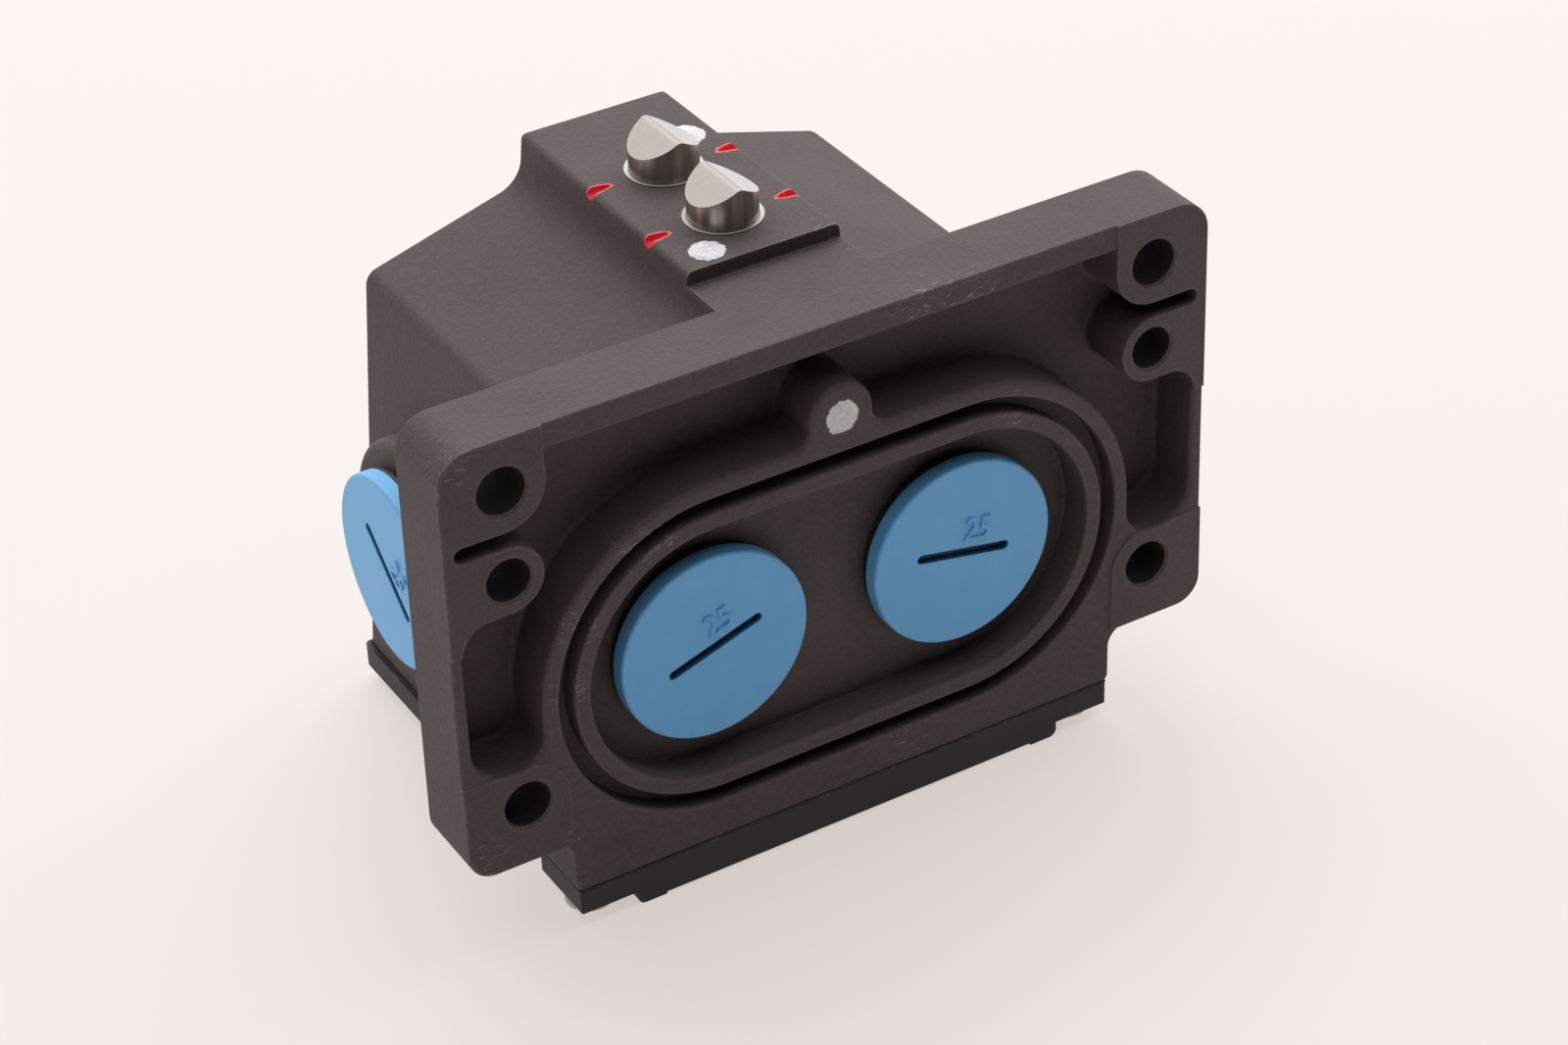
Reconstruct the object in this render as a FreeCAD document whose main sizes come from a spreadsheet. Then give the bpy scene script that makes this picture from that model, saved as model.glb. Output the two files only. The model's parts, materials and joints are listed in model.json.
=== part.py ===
"""A cam-operated position switch: two roof plungers in a cast housing that bolts up by its front flange.

The frame: X runs along the flange, Y runs back from the flange's bolting face into the housing, Z is up.
The origin is the middle of the four corner bolt holes, on the bolting face. All lengths are millimetres.
"""
import FreeCAD, Part
import math
import os
import re
import Sketcher

# Driving sizes. Levels are heights along Z, depths are distances along Y behind the bolting face.
SIZES = {
    # flange outline
    "flange_width": 120.0,
    "flange_side_draft": 0.6,
    "flange_top": 32.7,
    "flange_base": -34.4,
    "flange_thickness": 12.0,
    "flange_corner_top": 5.0,
    "flange_corner_base": 4.0,
    "flange_edge_round": 0.4,
    "pad_edge_round": 0.2,
    "tongue_end_round": 1.0,
    "groove_edge_round": 0.3,
    "land_depth": 0.3,
    "tongue_width": 88.4,
    "tongue_fillet": 3.0,
    "joint_level": -43.2,
    # bolt holes and the pads round them
    "bolt_spacing_x": 101.0,
    "bolt_spacing_z": 50.0,
    "bolt_hole": 7.0,
    "bolt_pad_radius": 6.3,
    "middle_hole": 6.4,
    "middle_hole_level": 11.3,
    "middle_pad_radius": 5.1,
    "hole_chamfer": 0.4,
    # cored pocket round the cable entry
    "top_rim": 4.0,
    "side_rim": 2.1,
    "core_depth": 9.0,
    "core_base": -19.1,
    "core_corner_outer": 5.0,
    "core_corner_inner": 4.0,
    "core_corner_top": 4.2,
    "core_floor_fillet": 0.8,
    "land_edge_round": 0.8,
    "pad_depth": 1.6,
    # stadium-shaped cable entry
    "entry_spacing": 40.0,
    "entry_level": -12.3,
    "recess_radius": 20.0,
    "recess_depth": 5.8,
    "groove_inner_radius": 22.4,
    "groove_outer_radius": 24.8,
    "groove_depth": 3.6,
    "land_radius": 27.2,
    # boss over the entry
    "boss_level": 18.0,
    "boss_radius": 5.0,
    "boss_fillet": 2.5,
    # housing behind the flange
    "housing_depth": 69.7,
    "back_draft": 3.0,
    "housing_half_top": 37.4,
    "housing_half_base": 41.6,
    "wall": 3.8,
    "front_wall_depth": 12.0,
    "shoulder_level": 27.4,
    "shoulder_slope": 16.2,
    "shoulder_round": 2.5,
    "back_round": 1.0,
    "cavity_roof": 22.0,
    "cavity_roof_half": 14.0,
    # guide block on top
    "ridge_half_top": 11.8,
    "ridge_draft": 5.0,
    "ridge_foot_fillet": 5.0,
    "block_top": 34.8,
    "block_front": 19.3,
    "block_edge_round": 1.0,
    "notch_length": 3.2,
    "notch_half_width": 0.85,
    "notch_depth": 1.1,
    # plungers and their guides
    "plunger_front_depth": 30.0,
    "plunger_spacing": 16.0,
    "plunger_diameter": 10.0,
    "plunger_height": 6.2,
    "roof_angle": 30.0,
    "roof_round": 1.2,
    "stem_base": 18.0,
    "tappet_diameter": 4.0,
    "tappet_gap": 0.1,
    "bush_diameter": 11.4,
    "bush_proud": 0.3,
    "bush_round": 0.15,
    "press_gap": 0.02,
    "running_gap": 0.05,
    "key_width": 1.8,
    "key_depth": 0.7,
    "key_length": 3.5,
    "key_gap": 0.1,
    "keyway_top": 31.0,
    "clip_thickness": 1.0,
    "clip_groove_depth": 0.4,
    "clip_outer": 12.8,
    "clip_gap_width": 3.0,
    "stop_gap": 0.2,
    # return springs
    "spring_wire": 0.9,
    "spring_mean_radius": 3.5,
    "spring_turns": 6.0,
    # carrier of the snap switches
    "carrier_left": -21.5,
    "carrier_right": 9.5,
    "carrier_front": 22.0,
    "carrier_plate_top": 4.0,
    "carrier_plate": 3.0,
    "carrier_base": -22.0,
    "carrier_post_radius": 2.8,
    "carrier_post_bore": 12.0,
    "carrier_lug_half": 4.5,
    "carrier_lug_wall": 5.0,
    # snap switches
    "case_thickness": 10.3,
    "case_left": -20.0,
    "case_length": 27.8,
    "case_height": 15.9,
    "case_top": -7.3,
    "case_step": -6.0,
    "case_step_drop": 2.9,
    "case_round": 0.6,
    "button_diameter": 3.0,
    "button_proud": 2.0,
    "button_length": 4.0,
    "button_well": 6.0,
    "button_gap": 0.1,
    "button_round": 0.4,
    "case_screw_left": -17.2,
    "case_screw_low": -19.0,
    "case_screw_right": 5.0,
    "case_screw_high": -14.0,
    "nut_flats": 5.5,
    "nut_height": 2.4,
    # rocker levers
    "pivot_x": -16.0,
    "pivot_level": -3.0,
    "pivot_diameter": 3.0,
    "lever_eye_radius": 2.7,
    "lever_top": 1.5,
    "lever_plate": 2.0,
    "lever_reach": 19.5,
    "lever_width": 6.0,
    "nose_offset": 5.0,
    "nose_radius": 2.2,
    # terminals under the snap switches
    "terminal_first": -15.5,
    "terminal_pitch": 9.4,
    "terminal_width": 6.0,
    "terminal_depth": 7.0,
    "terminal_height": 5.0,
    "wire_hole": 2.6,
    "wire_hole_level": -25.0,
    "terminal_screw_head": 4.4,
    "terminal_screw_head_height": 1.4,
    "terminal_screw_length": 2.2,
    # blanking plugs and their seals
    "plug_head_diameter": 29.0,
    "plug_head": 2.4,
    "plug_face_depth": 1.8,
    "plug_head_round": 0.4,
    "plug_thread": 24.8,
    "entry_hole": 25.0,
    "plug_length": 12.0,
    "plug_bore": 20.0,
    "plug_bore_depth": 9.0,
    "plug_slot_length": 15.4,
    "plug_slot_width": 1.5,
    "plug_slot_depth": 1.2,
    "slot_turn_left": 18.0,
    "slot_turn_right": -11.0,
    "slot_turn_side": 42.0,
    "seal_section": 1.6,
    "seal_mean_radius": 13.5,
    # side entry
    "side_entry_depth": 42.0,
    "side_entry_level": -12.0,
    "side_boss_radius": 18.0,
    "side_boss_face": 45.4,
    "side_boss_round": 1.5,
    # base cover
    "cover_front_half": 43.8,
    "cover_half": 42.5,
    "cover_lip": 0.4,
    "cover_thickness": 3.7,
    "cover_front_corner": 0.4,
    "cover_back_corner": 1.0,
    "gasket_thickness": 0.3,
    "gasket_inset": 0.05,
    "foot_half": 35.0,
    "foot_height": 2.3,
    "foot_lug": 4.5,
    "foot_hollow": 0.35,
    "foot_round": 1.2,
    "head_gap": 0.4,
    "spigot_height": 2.0,
    "spigot_width": 2.0,
    "spigot_gap": 0.4,
    "cover_screw_front_x": 40.0,
    "cover_screw_front_depth": 5.4,
    "cover_screw_rear_x": 35.4,
    "cover_screw_rear_depth": 60.4,
    "cover_column_radius": 4.2,
    "cover_column_height": 20.0,
    # screws
    "screw_four": 4.0,
    "screw_four_head": 7.0,
    "screw_four_head_height": 1.8,
    "screw_four_length": 12.0,
    "screw_three": 3.0,
    "screw_three_head": 5.5,
    "screw_three_head_height": 2.0,
    "screw_slot_width": 0.9,
    "screw_slot_depth": 1.0,
    "screw_slot_turn": 35.0,
    "screw_gap": 0.1,
    "sealed_head": 4.6,
    "block_screw_x": 6.7,
    "block_screw_front_depth": 22.9,
    "block_screw_rear_depth": 53.0,
    "block_screw_length": 19.0,
    "boss_screw_length": 13.0,
    "seal_dot_diameter": 5.0,
    "seal_dot_depth": 1.2,
    "seal_dot_proud": 0.3,
    "seal_dot_round": 0.25,
    "earth_x": 27.0,
    "earth_depth": 50.0,
    "earth_column_radius": 4.5,
    "earth_column_base": -18.0,
    "earth_clamp": 8.0,
    "earth_clamp_thickness": 1.2,
    "earth_screw_length": 10.0,
}

doc = FreeCAD.newDocument("cam_switch")
sheet = doc.addObject("Spreadsheet::Sheet", "sizes")
for row, (word, size) in enumerate(SIZES.items(), start=1):
    sheet.set("A%d" % row, word.replace("_", " "))
    sheet.set("B%d" % row, str(size))
    sheet.setAlias("B%d" % row, word)
doc.recompute()

NAME = re.compile(r"[a-z][a-z_]*")
NODES = {}


# Formulas are text that names sizes of the sheet
def bound(formula):
    """Puts the sheet's name before each of its sizes."""
    def placed(found):
        return "sizes." + found.group() if found.group() in SIZES else found.group()

    return NAME.sub(placed, formula)


def number(formula):
    """Works a formula out as a plain number."""
    return float(sheet.evalExpression(bound(formula)))


# Places worked out from the driving sizes
HALF_FLANGE = "(flange_width / 2)"
BOLT_X = "(bolt_spacing_x / 2)"
BOLT_Z = "(bolt_spacing_z / 2)"
ENTRY_X = "(entry_spacing / 2)"
RIM_X = "(flange_width / 2 - side_rim)"
RIM_Z = "(flange_top - top_rim)"
RIDGE_FOOT = "(ridge_half_top + (block_top - shoulder_level) * tan(ridge_draft))"
SHOULDER_EDGE = "(shoulder_level - (housing_half_top - " + RIDGE_FOOT + ") * tan(shoulder_slope))"
LOWER_PAD_TOP = "(bolt_pad_radius - bolt_spacing_z / 2)"
UPPER_PAD_BASE = "(middle_hole_level - middle_pad_radius - core_corner_top)"
BACK_AT_TOP = "(housing_depth - back_draft)"
CAVITY_BACK = "(housing_depth - back_draft - wall)"
COVER_TOP = "(joint_level - gasket_thickness)"
COVER_BASE = "(joint_level - gasket_thickness - cover_thickness)"
PLUNGER_DEPTHS = {"front": "plunger_front_depth", "rear": "(plunger_front_depth + plunger_spacing)"}
CARRIER_BACK = "(2 * plunger_front_depth + plunger_spacing - carrier_front)"
CASE_BASE = "(case_top - case_height)"
CLIP_TOP = "(cavity_roof - stop_gap)"
TAPPET_END = "(pivot_level + lever_top + button_gap)"
BUTTON_X = "(pivot_x + nose_offset)"
TERMINAL_PLACES = ["(terminal_first + %d * terminal_pitch)" % index for index in range(3)]
SIDE_PLUG_FACE = "-(side_boss_face + seal_section + plug_head)"


def flange_side(level):
    """The flange's half width at a level, on its drafted side."""
    return HALF_FLANGE + " - flange_side_draft * (" + level + " - flange_base) / (flange_top - flange_base)"


def body_named(label):
    """Starts a sub-part that is built from sketches."""
    body = doc.addObject("PartDesign::Body", label)
    body.Label = label
    NODES[label] = body
    return body


def sketch_on(body, name, plane, offset="0"):
    """Lays a sketch on one of the body's own origin planes, moved along the plane's normal."""
    sketch = body.newObject("Sketcher::SketchObject", name)
    support = next(item for item in body.Origin.OriginFeatures if item.Role == plane + "_Plane")
    sketch.AttachmentSupport = (support, [""])
    sketch.MapMode = "FlatFace"
    sketch.setExpression("AttachmentOffset.Base.z", bound(offset))
    return sketch


def fix(sketch, kind, geometry, point, formula):
    """Ties a point's distance from the sketch's origin to a formula."""
    index = sketch.addConstraint(Sketcher.Constraint(kind, -1, 1, geometry, point, number(formula)))
    sketch.setExpression("Constraints[%d]" % index, bound(formula))


def arc_between(start, end, radius, turn):
    """An arc through two points: turn 1 runs anticlockwise, turn -1 clockwise."""
    chord = end - start
    reach = math.sqrt(max(radius * radius - chord.Length * chord.Length / 4, 0.0))
    side = FreeCAD.Vector(-chord.y, chord.x, 0) / chord.Length
    centre = (start + end) / 2 + side * reach * turn
    circle = Part.Circle(centre, FreeCAD.Vector(0, 0, 1), radius)
    first, last = (start, end) if turn > 0 else (end, start)
    return Part.ArcOfCircle(circle, circle.parameter(first), circle.parameter(last))


def outline(sketch, path):
    """Draws a closed outline. A corner is (x, y), or (x, y, radius) where it is rounded.

    (x, y, radius, turn) is a corner that an arc leads to.
    """
    corners = [FreeCAD.Vector(number(corner[0]), number(corner[1]), 0) for corner in path]
    arrivals = list(corners)
    departures = list(corners)
    for index, corner in enumerate(path):
        if len(corner) == 3:
            before = (corners[index - 1] - corners[index]).normalize()
            after = (corners[(index + 1) % len(path)] - corners[index]).normalize()
            reach = number(corner[2]) / math.tan(before.getAngle(after) / 2)
            arrivals[index] = corners[index] + before * reach
            departures[index] = corners[index] + after * reach
    starts = []
    ends = []
    for index, corner in enumerate(path):
        start = departures[index - 1]
        end = arrivals[index]
        if len(corner) == 4:
            geometry = sketch.addGeometry(arc_between(start, end, number(corner[2]), corner[3]))
            starts.append((geometry, 1 if corner[3] > 0 else 2))
            ends.append((geometry, 2 if corner[3] > 0 else 1))
        else:
            geometry = sketch.addGeometry(Part.LineSegment(start, end))
            starts.append((geometry, 1))
            ends.append((geometry, 2))
    for index, corner in enumerate(path):
        after = (index + 1) % len(path)
        if len(corner) == 3:
            round_corner(sketch, corner, corners[index], arrivals[index], departures[index],
                         ends[index], starts[after])
            continue
        sketch.addConstraint(Sketcher.Constraint("Coincident", *ends[index], *starts[after]))
        fix(sketch, "DistanceX", *ends[index], corner[0])
        fix(sketch, "DistanceY", *ends[index], corner[1])
        if len(corner) == 4:
            radius = sketch.addConstraint(Sketcher.Constraint("Radius", ends[index][0], number(corner[2])))
            sketch.setExpression("Constraints[%d]" % radius, bound(corner[2]))


def round_corner(sketch, corner, point, arrival, departure, end, start):
    """Joins two lines by an arc that touches both, round a corner point that both lines pass through."""
    before = arrival - point
    after = departure - point
    turn = 1 if before.cross(after).z < 0 else -1
    arc = sketch.addGeometry(arc_between(arrival, departure, number(corner[2]), turn))
    near_end = (arc, 1 if turn > 0 else 2)
    far_end = (arc, 2 if turn > 0 else 1)
    mark = sketch.addGeometry(Part.Point(point), True)
    fix(sketch, "DistanceX", mark, 1, corner[0])
    fix(sketch, "DistanceY", mark, 1, corner[1])
    sketch.addConstraint(Sketcher.Constraint("PointOnObject", mark, 1, end[0]))
    sketch.addConstraint(Sketcher.Constraint("PointOnObject", mark, 1, start[0]))
    sketch.addConstraint(Sketcher.Constraint("Tangent", *end, *near_end))
    sketch.addConstraint(Sketcher.Constraint("Tangent", *far_end, *start))
    radius = sketch.addConstraint(Sketcher.Constraint("Radius", arc, number(corner[2])))
    sketch.setExpression("Constraints[%d]" % radius, bound(corner[2]))


def circle(sketch, x, y, radius):
    """Draws a circle whose centre and radius follow formulas."""
    centre = FreeCAD.Vector(number(x), number(y), 0)
    geometry = sketch.addGeometry(Part.Circle(centre, FreeCAD.Vector(0, 0, 1), number(radius)))
    fix(sketch, "DistanceX", geometry, 3, x)
    fix(sketch, "DistanceY", geometry, 3, y)
    index = sketch.addConstraint(Sketcher.Constraint("Radius", geometry, number(radius)))
    sketch.setExpression("Constraints[%d]" % index, bound(radius))


def rectangle(sketch, left, low, right, high):
    """Draws a rectangle between two corners."""
    outline(sketch, [(left, low), (right, low), (right, high), (left, high)])


def stadium(sketch, radius):
    """Draws two half circles round the cable entry's centres, joined by straight runs."""
    high = "entry_level + " + radius
    low = "entry_level - " + radius
    right = ENTRY_X + " + " + radius
    left = "-(" + right + ")"
    outline(sketch, [
        (ENTRY_X, low),
        (right, "entry_level", radius, 1),
        (ENTRY_X, high, radius, 1),
        ("-" + ENTRY_X, high),
        (left, "entry_level", radius, 1),
        ("-" + ENTRY_X, low, radius, 1),
    ])


def mirrored(path):
    """The same outline on the other side of the middle plane, in the opposite order."""
    flipped = []
    for index in range(len(path) - 1, -1, -1):
        corner = path[index]
        after = path[(index + 1) % len(path)]
        manner = after[2:] if len(after) == 4 else corner[2:] if len(corner) == 3 else ()
        flipped.append(("-(" + corner[0] + ")", corner[1]) + manner)
    return flipped


def settled(feature):
    """Recomputes, and stops where the new feature failed."""
    doc.recompute()
    if "Invalid" in feature.State or "Error" in feature.State or feature.Shape.isNull():
        raise RuntimeError(feature.Name + " failed: " + str(feature.State))
    return feature


def pad(body, name, sketch, length, backwards=False):
    """Raises a sketch along its normal, or against it."""
    feature = body.newObject("PartDesign::Pad", name)
    feature.Profile = sketch
    feature.setExpression("Length", bound(length))
    feature.Reversed = backwards
    return settled(feature)


def pocket(body, name, sketch, length, forwards=False):
    """Cuts a sketch into the body against its normal, or along it, and makes sure that it cut something."""
    before = body.Shape.Volume
    feature = body.newObject("PartDesign::Pocket", name)
    feature.Profile = sketch
    feature.setExpression("Length", bound(length))
    feature.Reversed = forwards
    doc.recompute()
    if not body.Shape.Volume < before:
        raise RuntimeError(name + " cuts nothing")
    return feature


def spun(body, name, sketch, axis, kind="PartDesign::Revolution"):
    """Turns a sketch about one of its own axes."""
    feature = body.newObject(kind, name)
    feature.Profile = sketch
    feature.ReferenceAxis = (sketch, [axis])
    feature.Angle = 360.0
    return settled(feature)


def edges_where(body, accept):
    """Names the body's edges whose middle point passes a test."""
    names = []
    for index, edge in enumerate(body.Shape.Edges, start=1):
        middle = edge.valueAt((edge.FirstParameter + edge.LastParameter) / 2)
        if accept(middle, edge):
            names.append("Edge%d" % index)
    return names


def fillet(body, name, edges, radius):
    """Rounds some of the body's edges."""
    base = body.Tip
    feature = body.newObject("PartDesign::Fillet", name)
    feature.Base = (base, edges)
    feature.setExpression("Radius", bound(radius))
    body.Tip = feature
    return settled(feature)


def chamfer(body, name, edges, size):
    """Bevels some of the body's edges."""
    base = body.Tip
    feature = body.newObject("PartDesign::Chamfer", name)
    feature.Base = (base, edges)
    feature.setExpression("Size", bound(size))
    body.Tip = feature
    return settled(feature)


def near(value, formula, slack=0.05):
    """True where a value lies at a formula's number."""
    return abs(value - number(formula)) < slack


def place_along(body, axis, formula):
    """Moves a finished body along one axis."""
    body.setExpression("Placement.Base." + axis, bound(formula))


# Housing: flange, shell and guide block in one casting
def top_pad_path():
    """The raised pad round the upper bolt hole and the middle hole, on the right side."""
    bolt_x = BOLT_X
    slit_low = "middle_hole_level + middle_pad_radius"
    slit_high = BOLT_Z + " - bolt_pad_radius"
    slit_radius = "(" + BOLT_Z + " - bolt_pad_radius - middle_hole_level - middle_pad_radius) / 2"
    slit_centre = RIM_X + " - " + slit_radius
    pad_low = "middle_hole_level - middle_pad_radius"
    return [
        (bolt_x + " - bolt_pad_radius", "flange_top"),
        (bolt_x + " - bolt_pad_radius", BOLT_Z),
        (bolt_x, slit_high, "bolt_pad_radius", 1),
        (slit_centre, slit_high),
        (RIM_X, "(" + slit_high + " + " + slit_low + ") / 2", slit_radius, -1),
        (slit_centre, slit_low, slit_radius, -1),
        (bolt_x, slit_low),
        (bolt_x + " - middle_pad_radius", "middle_hole_level", "middle_pad_radius", 1),
        (bolt_x, pad_low, "middle_pad_radius", 1),
        (RIM_X + " - core_corner_top", pad_low),
        (RIM_X, pad_low + " - core_corner_top", "core_corner_top", -1),
    ]


def core_path():
    """The cored pocket's outline: inside the rims, round the pads, and round the entry's land and boss."""
    right_pads = top_pad_path()[1:]
    land_top = "entry_level + land_radius"
    land_side = ENTRY_X + " + land_radius"
    fillet_level = "(entry_level + land_radius + boss_fillet)"
    fillet_x = "sqrt((boss_radius + boss_fillet) ^ 2 - (" + fillet_level + " - boss_level) ^ 2)"
    touch_x = fillet_x + " * boss_radius / (boss_radius + boss_fillet)"
    touch_z = "boss_level + (" + fillet_level + " - boss_level) * boss_radius / (boss_radius + boss_fillet)"
    half = [("0", RIM_Z), (BOLT_X + " - bolt_pad_radius", RIM_Z)]
    half += right_pads
    half += [
        (RIM_X, "core_base + core_corner_outer"),
        (RIM_X + " - core_corner_outer", "core_base", "core_corner_outer", -1),
        (land_side + " + core_corner_inner", "core_base"),
        (land_side, "core_base + core_corner_inner", "core_corner_inner", -1),
        (land_side, "entry_level"),
        (ENTRY_X, land_top, "land_radius", 1),
        (fillet_x, land_top),
        (touch_x, touch_z, "boss_fillet", -1),
        ("0", "boss_level + boss_radius", "boss_radius", 1),
    ]
    return half


def core_outline(sketch):
    """Draws both halves of the cored pocket as one outline."""
    right = core_path()
    outline(sketch, right + mirrored(right)[1:-1])


def housing_profile(sketch):
    """Draws the shell's section: ridge, sloping shoulders and drafted side walls."""
    right = [
        ("ridge_half_top", "block_top", "block_edge_round"),
        (RIDGE_FOOT, "shoulder_level", "ridge_foot_fillet"),
        ("housing_half_top", SHOULDER_EDGE, "shoulder_round"),
        ("housing_half_base", "joint_level"),
    ]
    outline(sketch, right + mirrored(right))


def cavity_profile(sketch):
    """Draws the hollow inside the shell, one wall inside its section and open below."""
    low = "(joint_level - wall)"
    inner_edge = "(" + SHOULDER_EDGE + " - wall / cos(shoulder_slope))"
    right = [
        ("cavity_roof_half", "cavity_roof"),
        ("housing_half_top - wall", inner_edge),
        ("housing_half_base - wall", low),
    ]
    outline(sketch, right + mirrored(right))


def make_housing():
    """The casting, from its flange outward to its cuts."""
    body = body_named("housing")
    tongue = "(tongue_width / 2)"
    top_half = HALF_FLANGE + " - flange_side_draft"
    right = [
        (top_half, "flange_top", "flange_corner_top"),
        (HALF_FLANGE, "flange_base", "flange_corner_base"),
        (tongue, "flange_base", "tongue_fillet"),
        (tongue, "joint_level"),
    ]
    flange = sketch_on(body, "flange_outline", "XZ", "-land_depth")
    outline(flange, right + mirrored(right))
    pad(body, "flange_plate", flange, "flange_thickness - land_depth", True)
    ends = edges_where(body, lambda middle, edge: near(middle.z, "joint_level")
                       and near(middle.x ** 2, tongue + "^ 2", 1) and middle.y > number("land_depth") + 1)
    fillet(body, "tongue_ends", ends, "tongue_end_round")
    for name, face in (("front", "land_depth"), ("back", "flange_thickness")):
        rim = edges_where(body, lambda middle, edge: near(middle.y, face)
                          and middle.z > number("joint_level") + 0.1)
        fillet(body, "flange_" + name + "_edges", rim, "flange_edge_round")

    section = sketch_on(body, "housing_section", "XZ", "-flange_thickness / 2")
    housing_profile(section)
    pad(body, "shell_block", section, "housing_depth - flange_thickness / 2", True)
    draft = sketch_on(body, "back_draft_section", "YZ", "-2 * housing_half_base")
    outline(draft, [
        ("housing_depth", "joint_level"),
        ("housing_depth + 1", "joint_level"),
        ("housing_depth + 1", "block_top"),
        (BACK_AT_TOP, "block_top"),
    ])
    pocket(body, "back_slope", draft, "4 * housing_half_base", True)

    round_housing(body)
    step = sketch_on(body, "block_step_section", "XZ")
    rectangle(step, "-1.5 * ridge_half_top", "flange_top", "1.5 * ridge_half_top", "block_top + 1")
    pocket(body, "block_step", step, "block_front")
    hollow_housing(body)
    core_flange(body)
    raise_pads(body)
    cut_flange_face(body)
    bore_housing(body)
    return body


def round_housing(body):
    """Rounds the edges of the casting's drafted back before anything else is cut."""
    def at_back(middle, edge):
        rise = (middle.z - number("joint_level")) / number("block_top - joint_level")
        back = number("housing_depth") - rise * number("back_draft")
        return abs(middle.y - back) < 0.05 and middle.z > number("joint_level") + 1

    fillet(body, "back_edges", edges_where(body, at_back), "back_round")


def hollow_housing(body):
    """Cores the shell from below and leaves the columns that the cover and earth screws go into."""
    cavity = sketch_on(body, "cavity_section", "XZ", "-front_wall_depth")
    cavity_profile(cavity)
    pocket(body, "cavity", cavity, CAVITY_BACK + " - front_wall_depth")

    boss = sketch_on(body, "side_boss_circle", "YZ", "-side_boss_face")
    circle(boss, "side_entry_depth", "side_entry_level", "side_boss_radius")
    pad(body, "side_boss", boss, "side_boss_face - housing_half_top + wall / 2")
    rim = edges_where(body, lambda middle, edge: near(middle.x, "-side_boss_face"))
    fillet(body, "side_boss_edge", rim, "side_boss_round")

    columns = sketch_on(body, "cover_columns_circles", "XY", "joint_level")
    for side in ("", "-"):
        circle(columns, side + "cover_screw_rear_x", "cover_screw_rear_depth", "cover_column_radius")
    pad(body, "cover_columns", columns, "cover_column_height")
    earth = sketch_on(body, "earth_column_circle", "XY", "earth_column_base")
    circle(earth, "earth_x", "earth_depth", "earth_column_radius")
    pad(body, "earth_column", earth, SHOULDER_EDGE + " - wall / 2 - earth_column_base")


def core_flange(body):
    """Cuts the cored pocket into the flange, with a soft mouth and a rounded floor as a casting has."""
    core = sketch_on(body, "core_section", "XZ")
    core_outline(core)
    pocket(body, "core", core, "core_depth")

    def inside(middle):
        low, high = number("core_base") - 0.1, number(RIM_Z) + 0.05
        return abs(middle.x) < number(RIM_X) + 0.05 and low < middle.z < high

    mouth = edges_where(body, lambda middle, edge: near(middle.y, "land_depth") and inside(middle))
    fillet(body, "core_mouth", mouth, "land_edge_round")
    floor = edges_where(body, lambda middle, edge: near(middle.y, "core_depth") and inside(middle))
    fillet(body, "core_floor", floor, "core_floor_fillet")


def raise_pads(body):
    """Raises the pads round the bolt holes above the land, and clears the cored pocket of them."""
    top_half = HALF_FLANGE + " - flange_side_draft"
    pads = sketch_on(body, "bolt_pads", "XZ")
    pad_edge = BOLT_X + " - bolt_pad_radius"
    upper = [
        (pad_edge, "flange_top"),
        (pad_edge, UPPER_PAD_BASE),
        (flange_side(UPPER_PAD_BASE), UPPER_PAD_BASE),
        (top_half, "flange_top", "flange_corner_top"),
    ]
    lower = [
        (pad_edge, "flange_base"),
        (HALF_FLANGE, "flange_base", "flange_corner_base"),
        (flange_side(LOWER_PAD_TOP), LOWER_PAD_TOP),
        (BOLT_X, LOWER_PAD_TOP),
        (pad_edge, "-" + BOLT_Z, "bolt_pad_radius", 1),
    ]
    for path in (upper, lower):
        outline(pads, path)
        outline(pads, mirrored(path))
    pad(body, "bolt_pad_faces", pads, "pad_depth", True)
    clearing = sketch_on(body, "pad_clearing", "XZ")
    core_outline(clearing)
    pocket(body, "pad_clearance", clearing, "pad_depth")
    rims = edges_where(body, lambda middle, edge: near(middle.y, "0"))
    fillet(body, "pad_edges", rims, "pad_edge_round")


def cut_flange_face(body):
    """Cuts the seal groove and the recess for the cable entries into the front."""
    groove = sketch_on(body, "seal_groove_section", "XZ")
    stadium(groove, "groove_outer_radius")
    stadium(groove, "groove_inner_radius")
    pocket(body, "seal_groove", groove, "groove_depth")
    recess = sketch_on(body, "recess_section", "XZ")
    stadium(recess, "recess_radius")
    pocket(body, "recess", recess, "recess_depth")

    def on_stadium(middle):
        across = max(abs(middle.x) - number(ENTRY_X), 0)
        reach = math.hypot(across, middle.z - number("entry_level"))
        return reach < number("groove_outer_radius") + 0.1

    mouths = edges_where(body, lambda middle, edge: near(middle.y, "land_depth") and on_stadium(middle))
    fillet(body, "groove_edges", mouths, "groove_edge_round")


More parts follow.
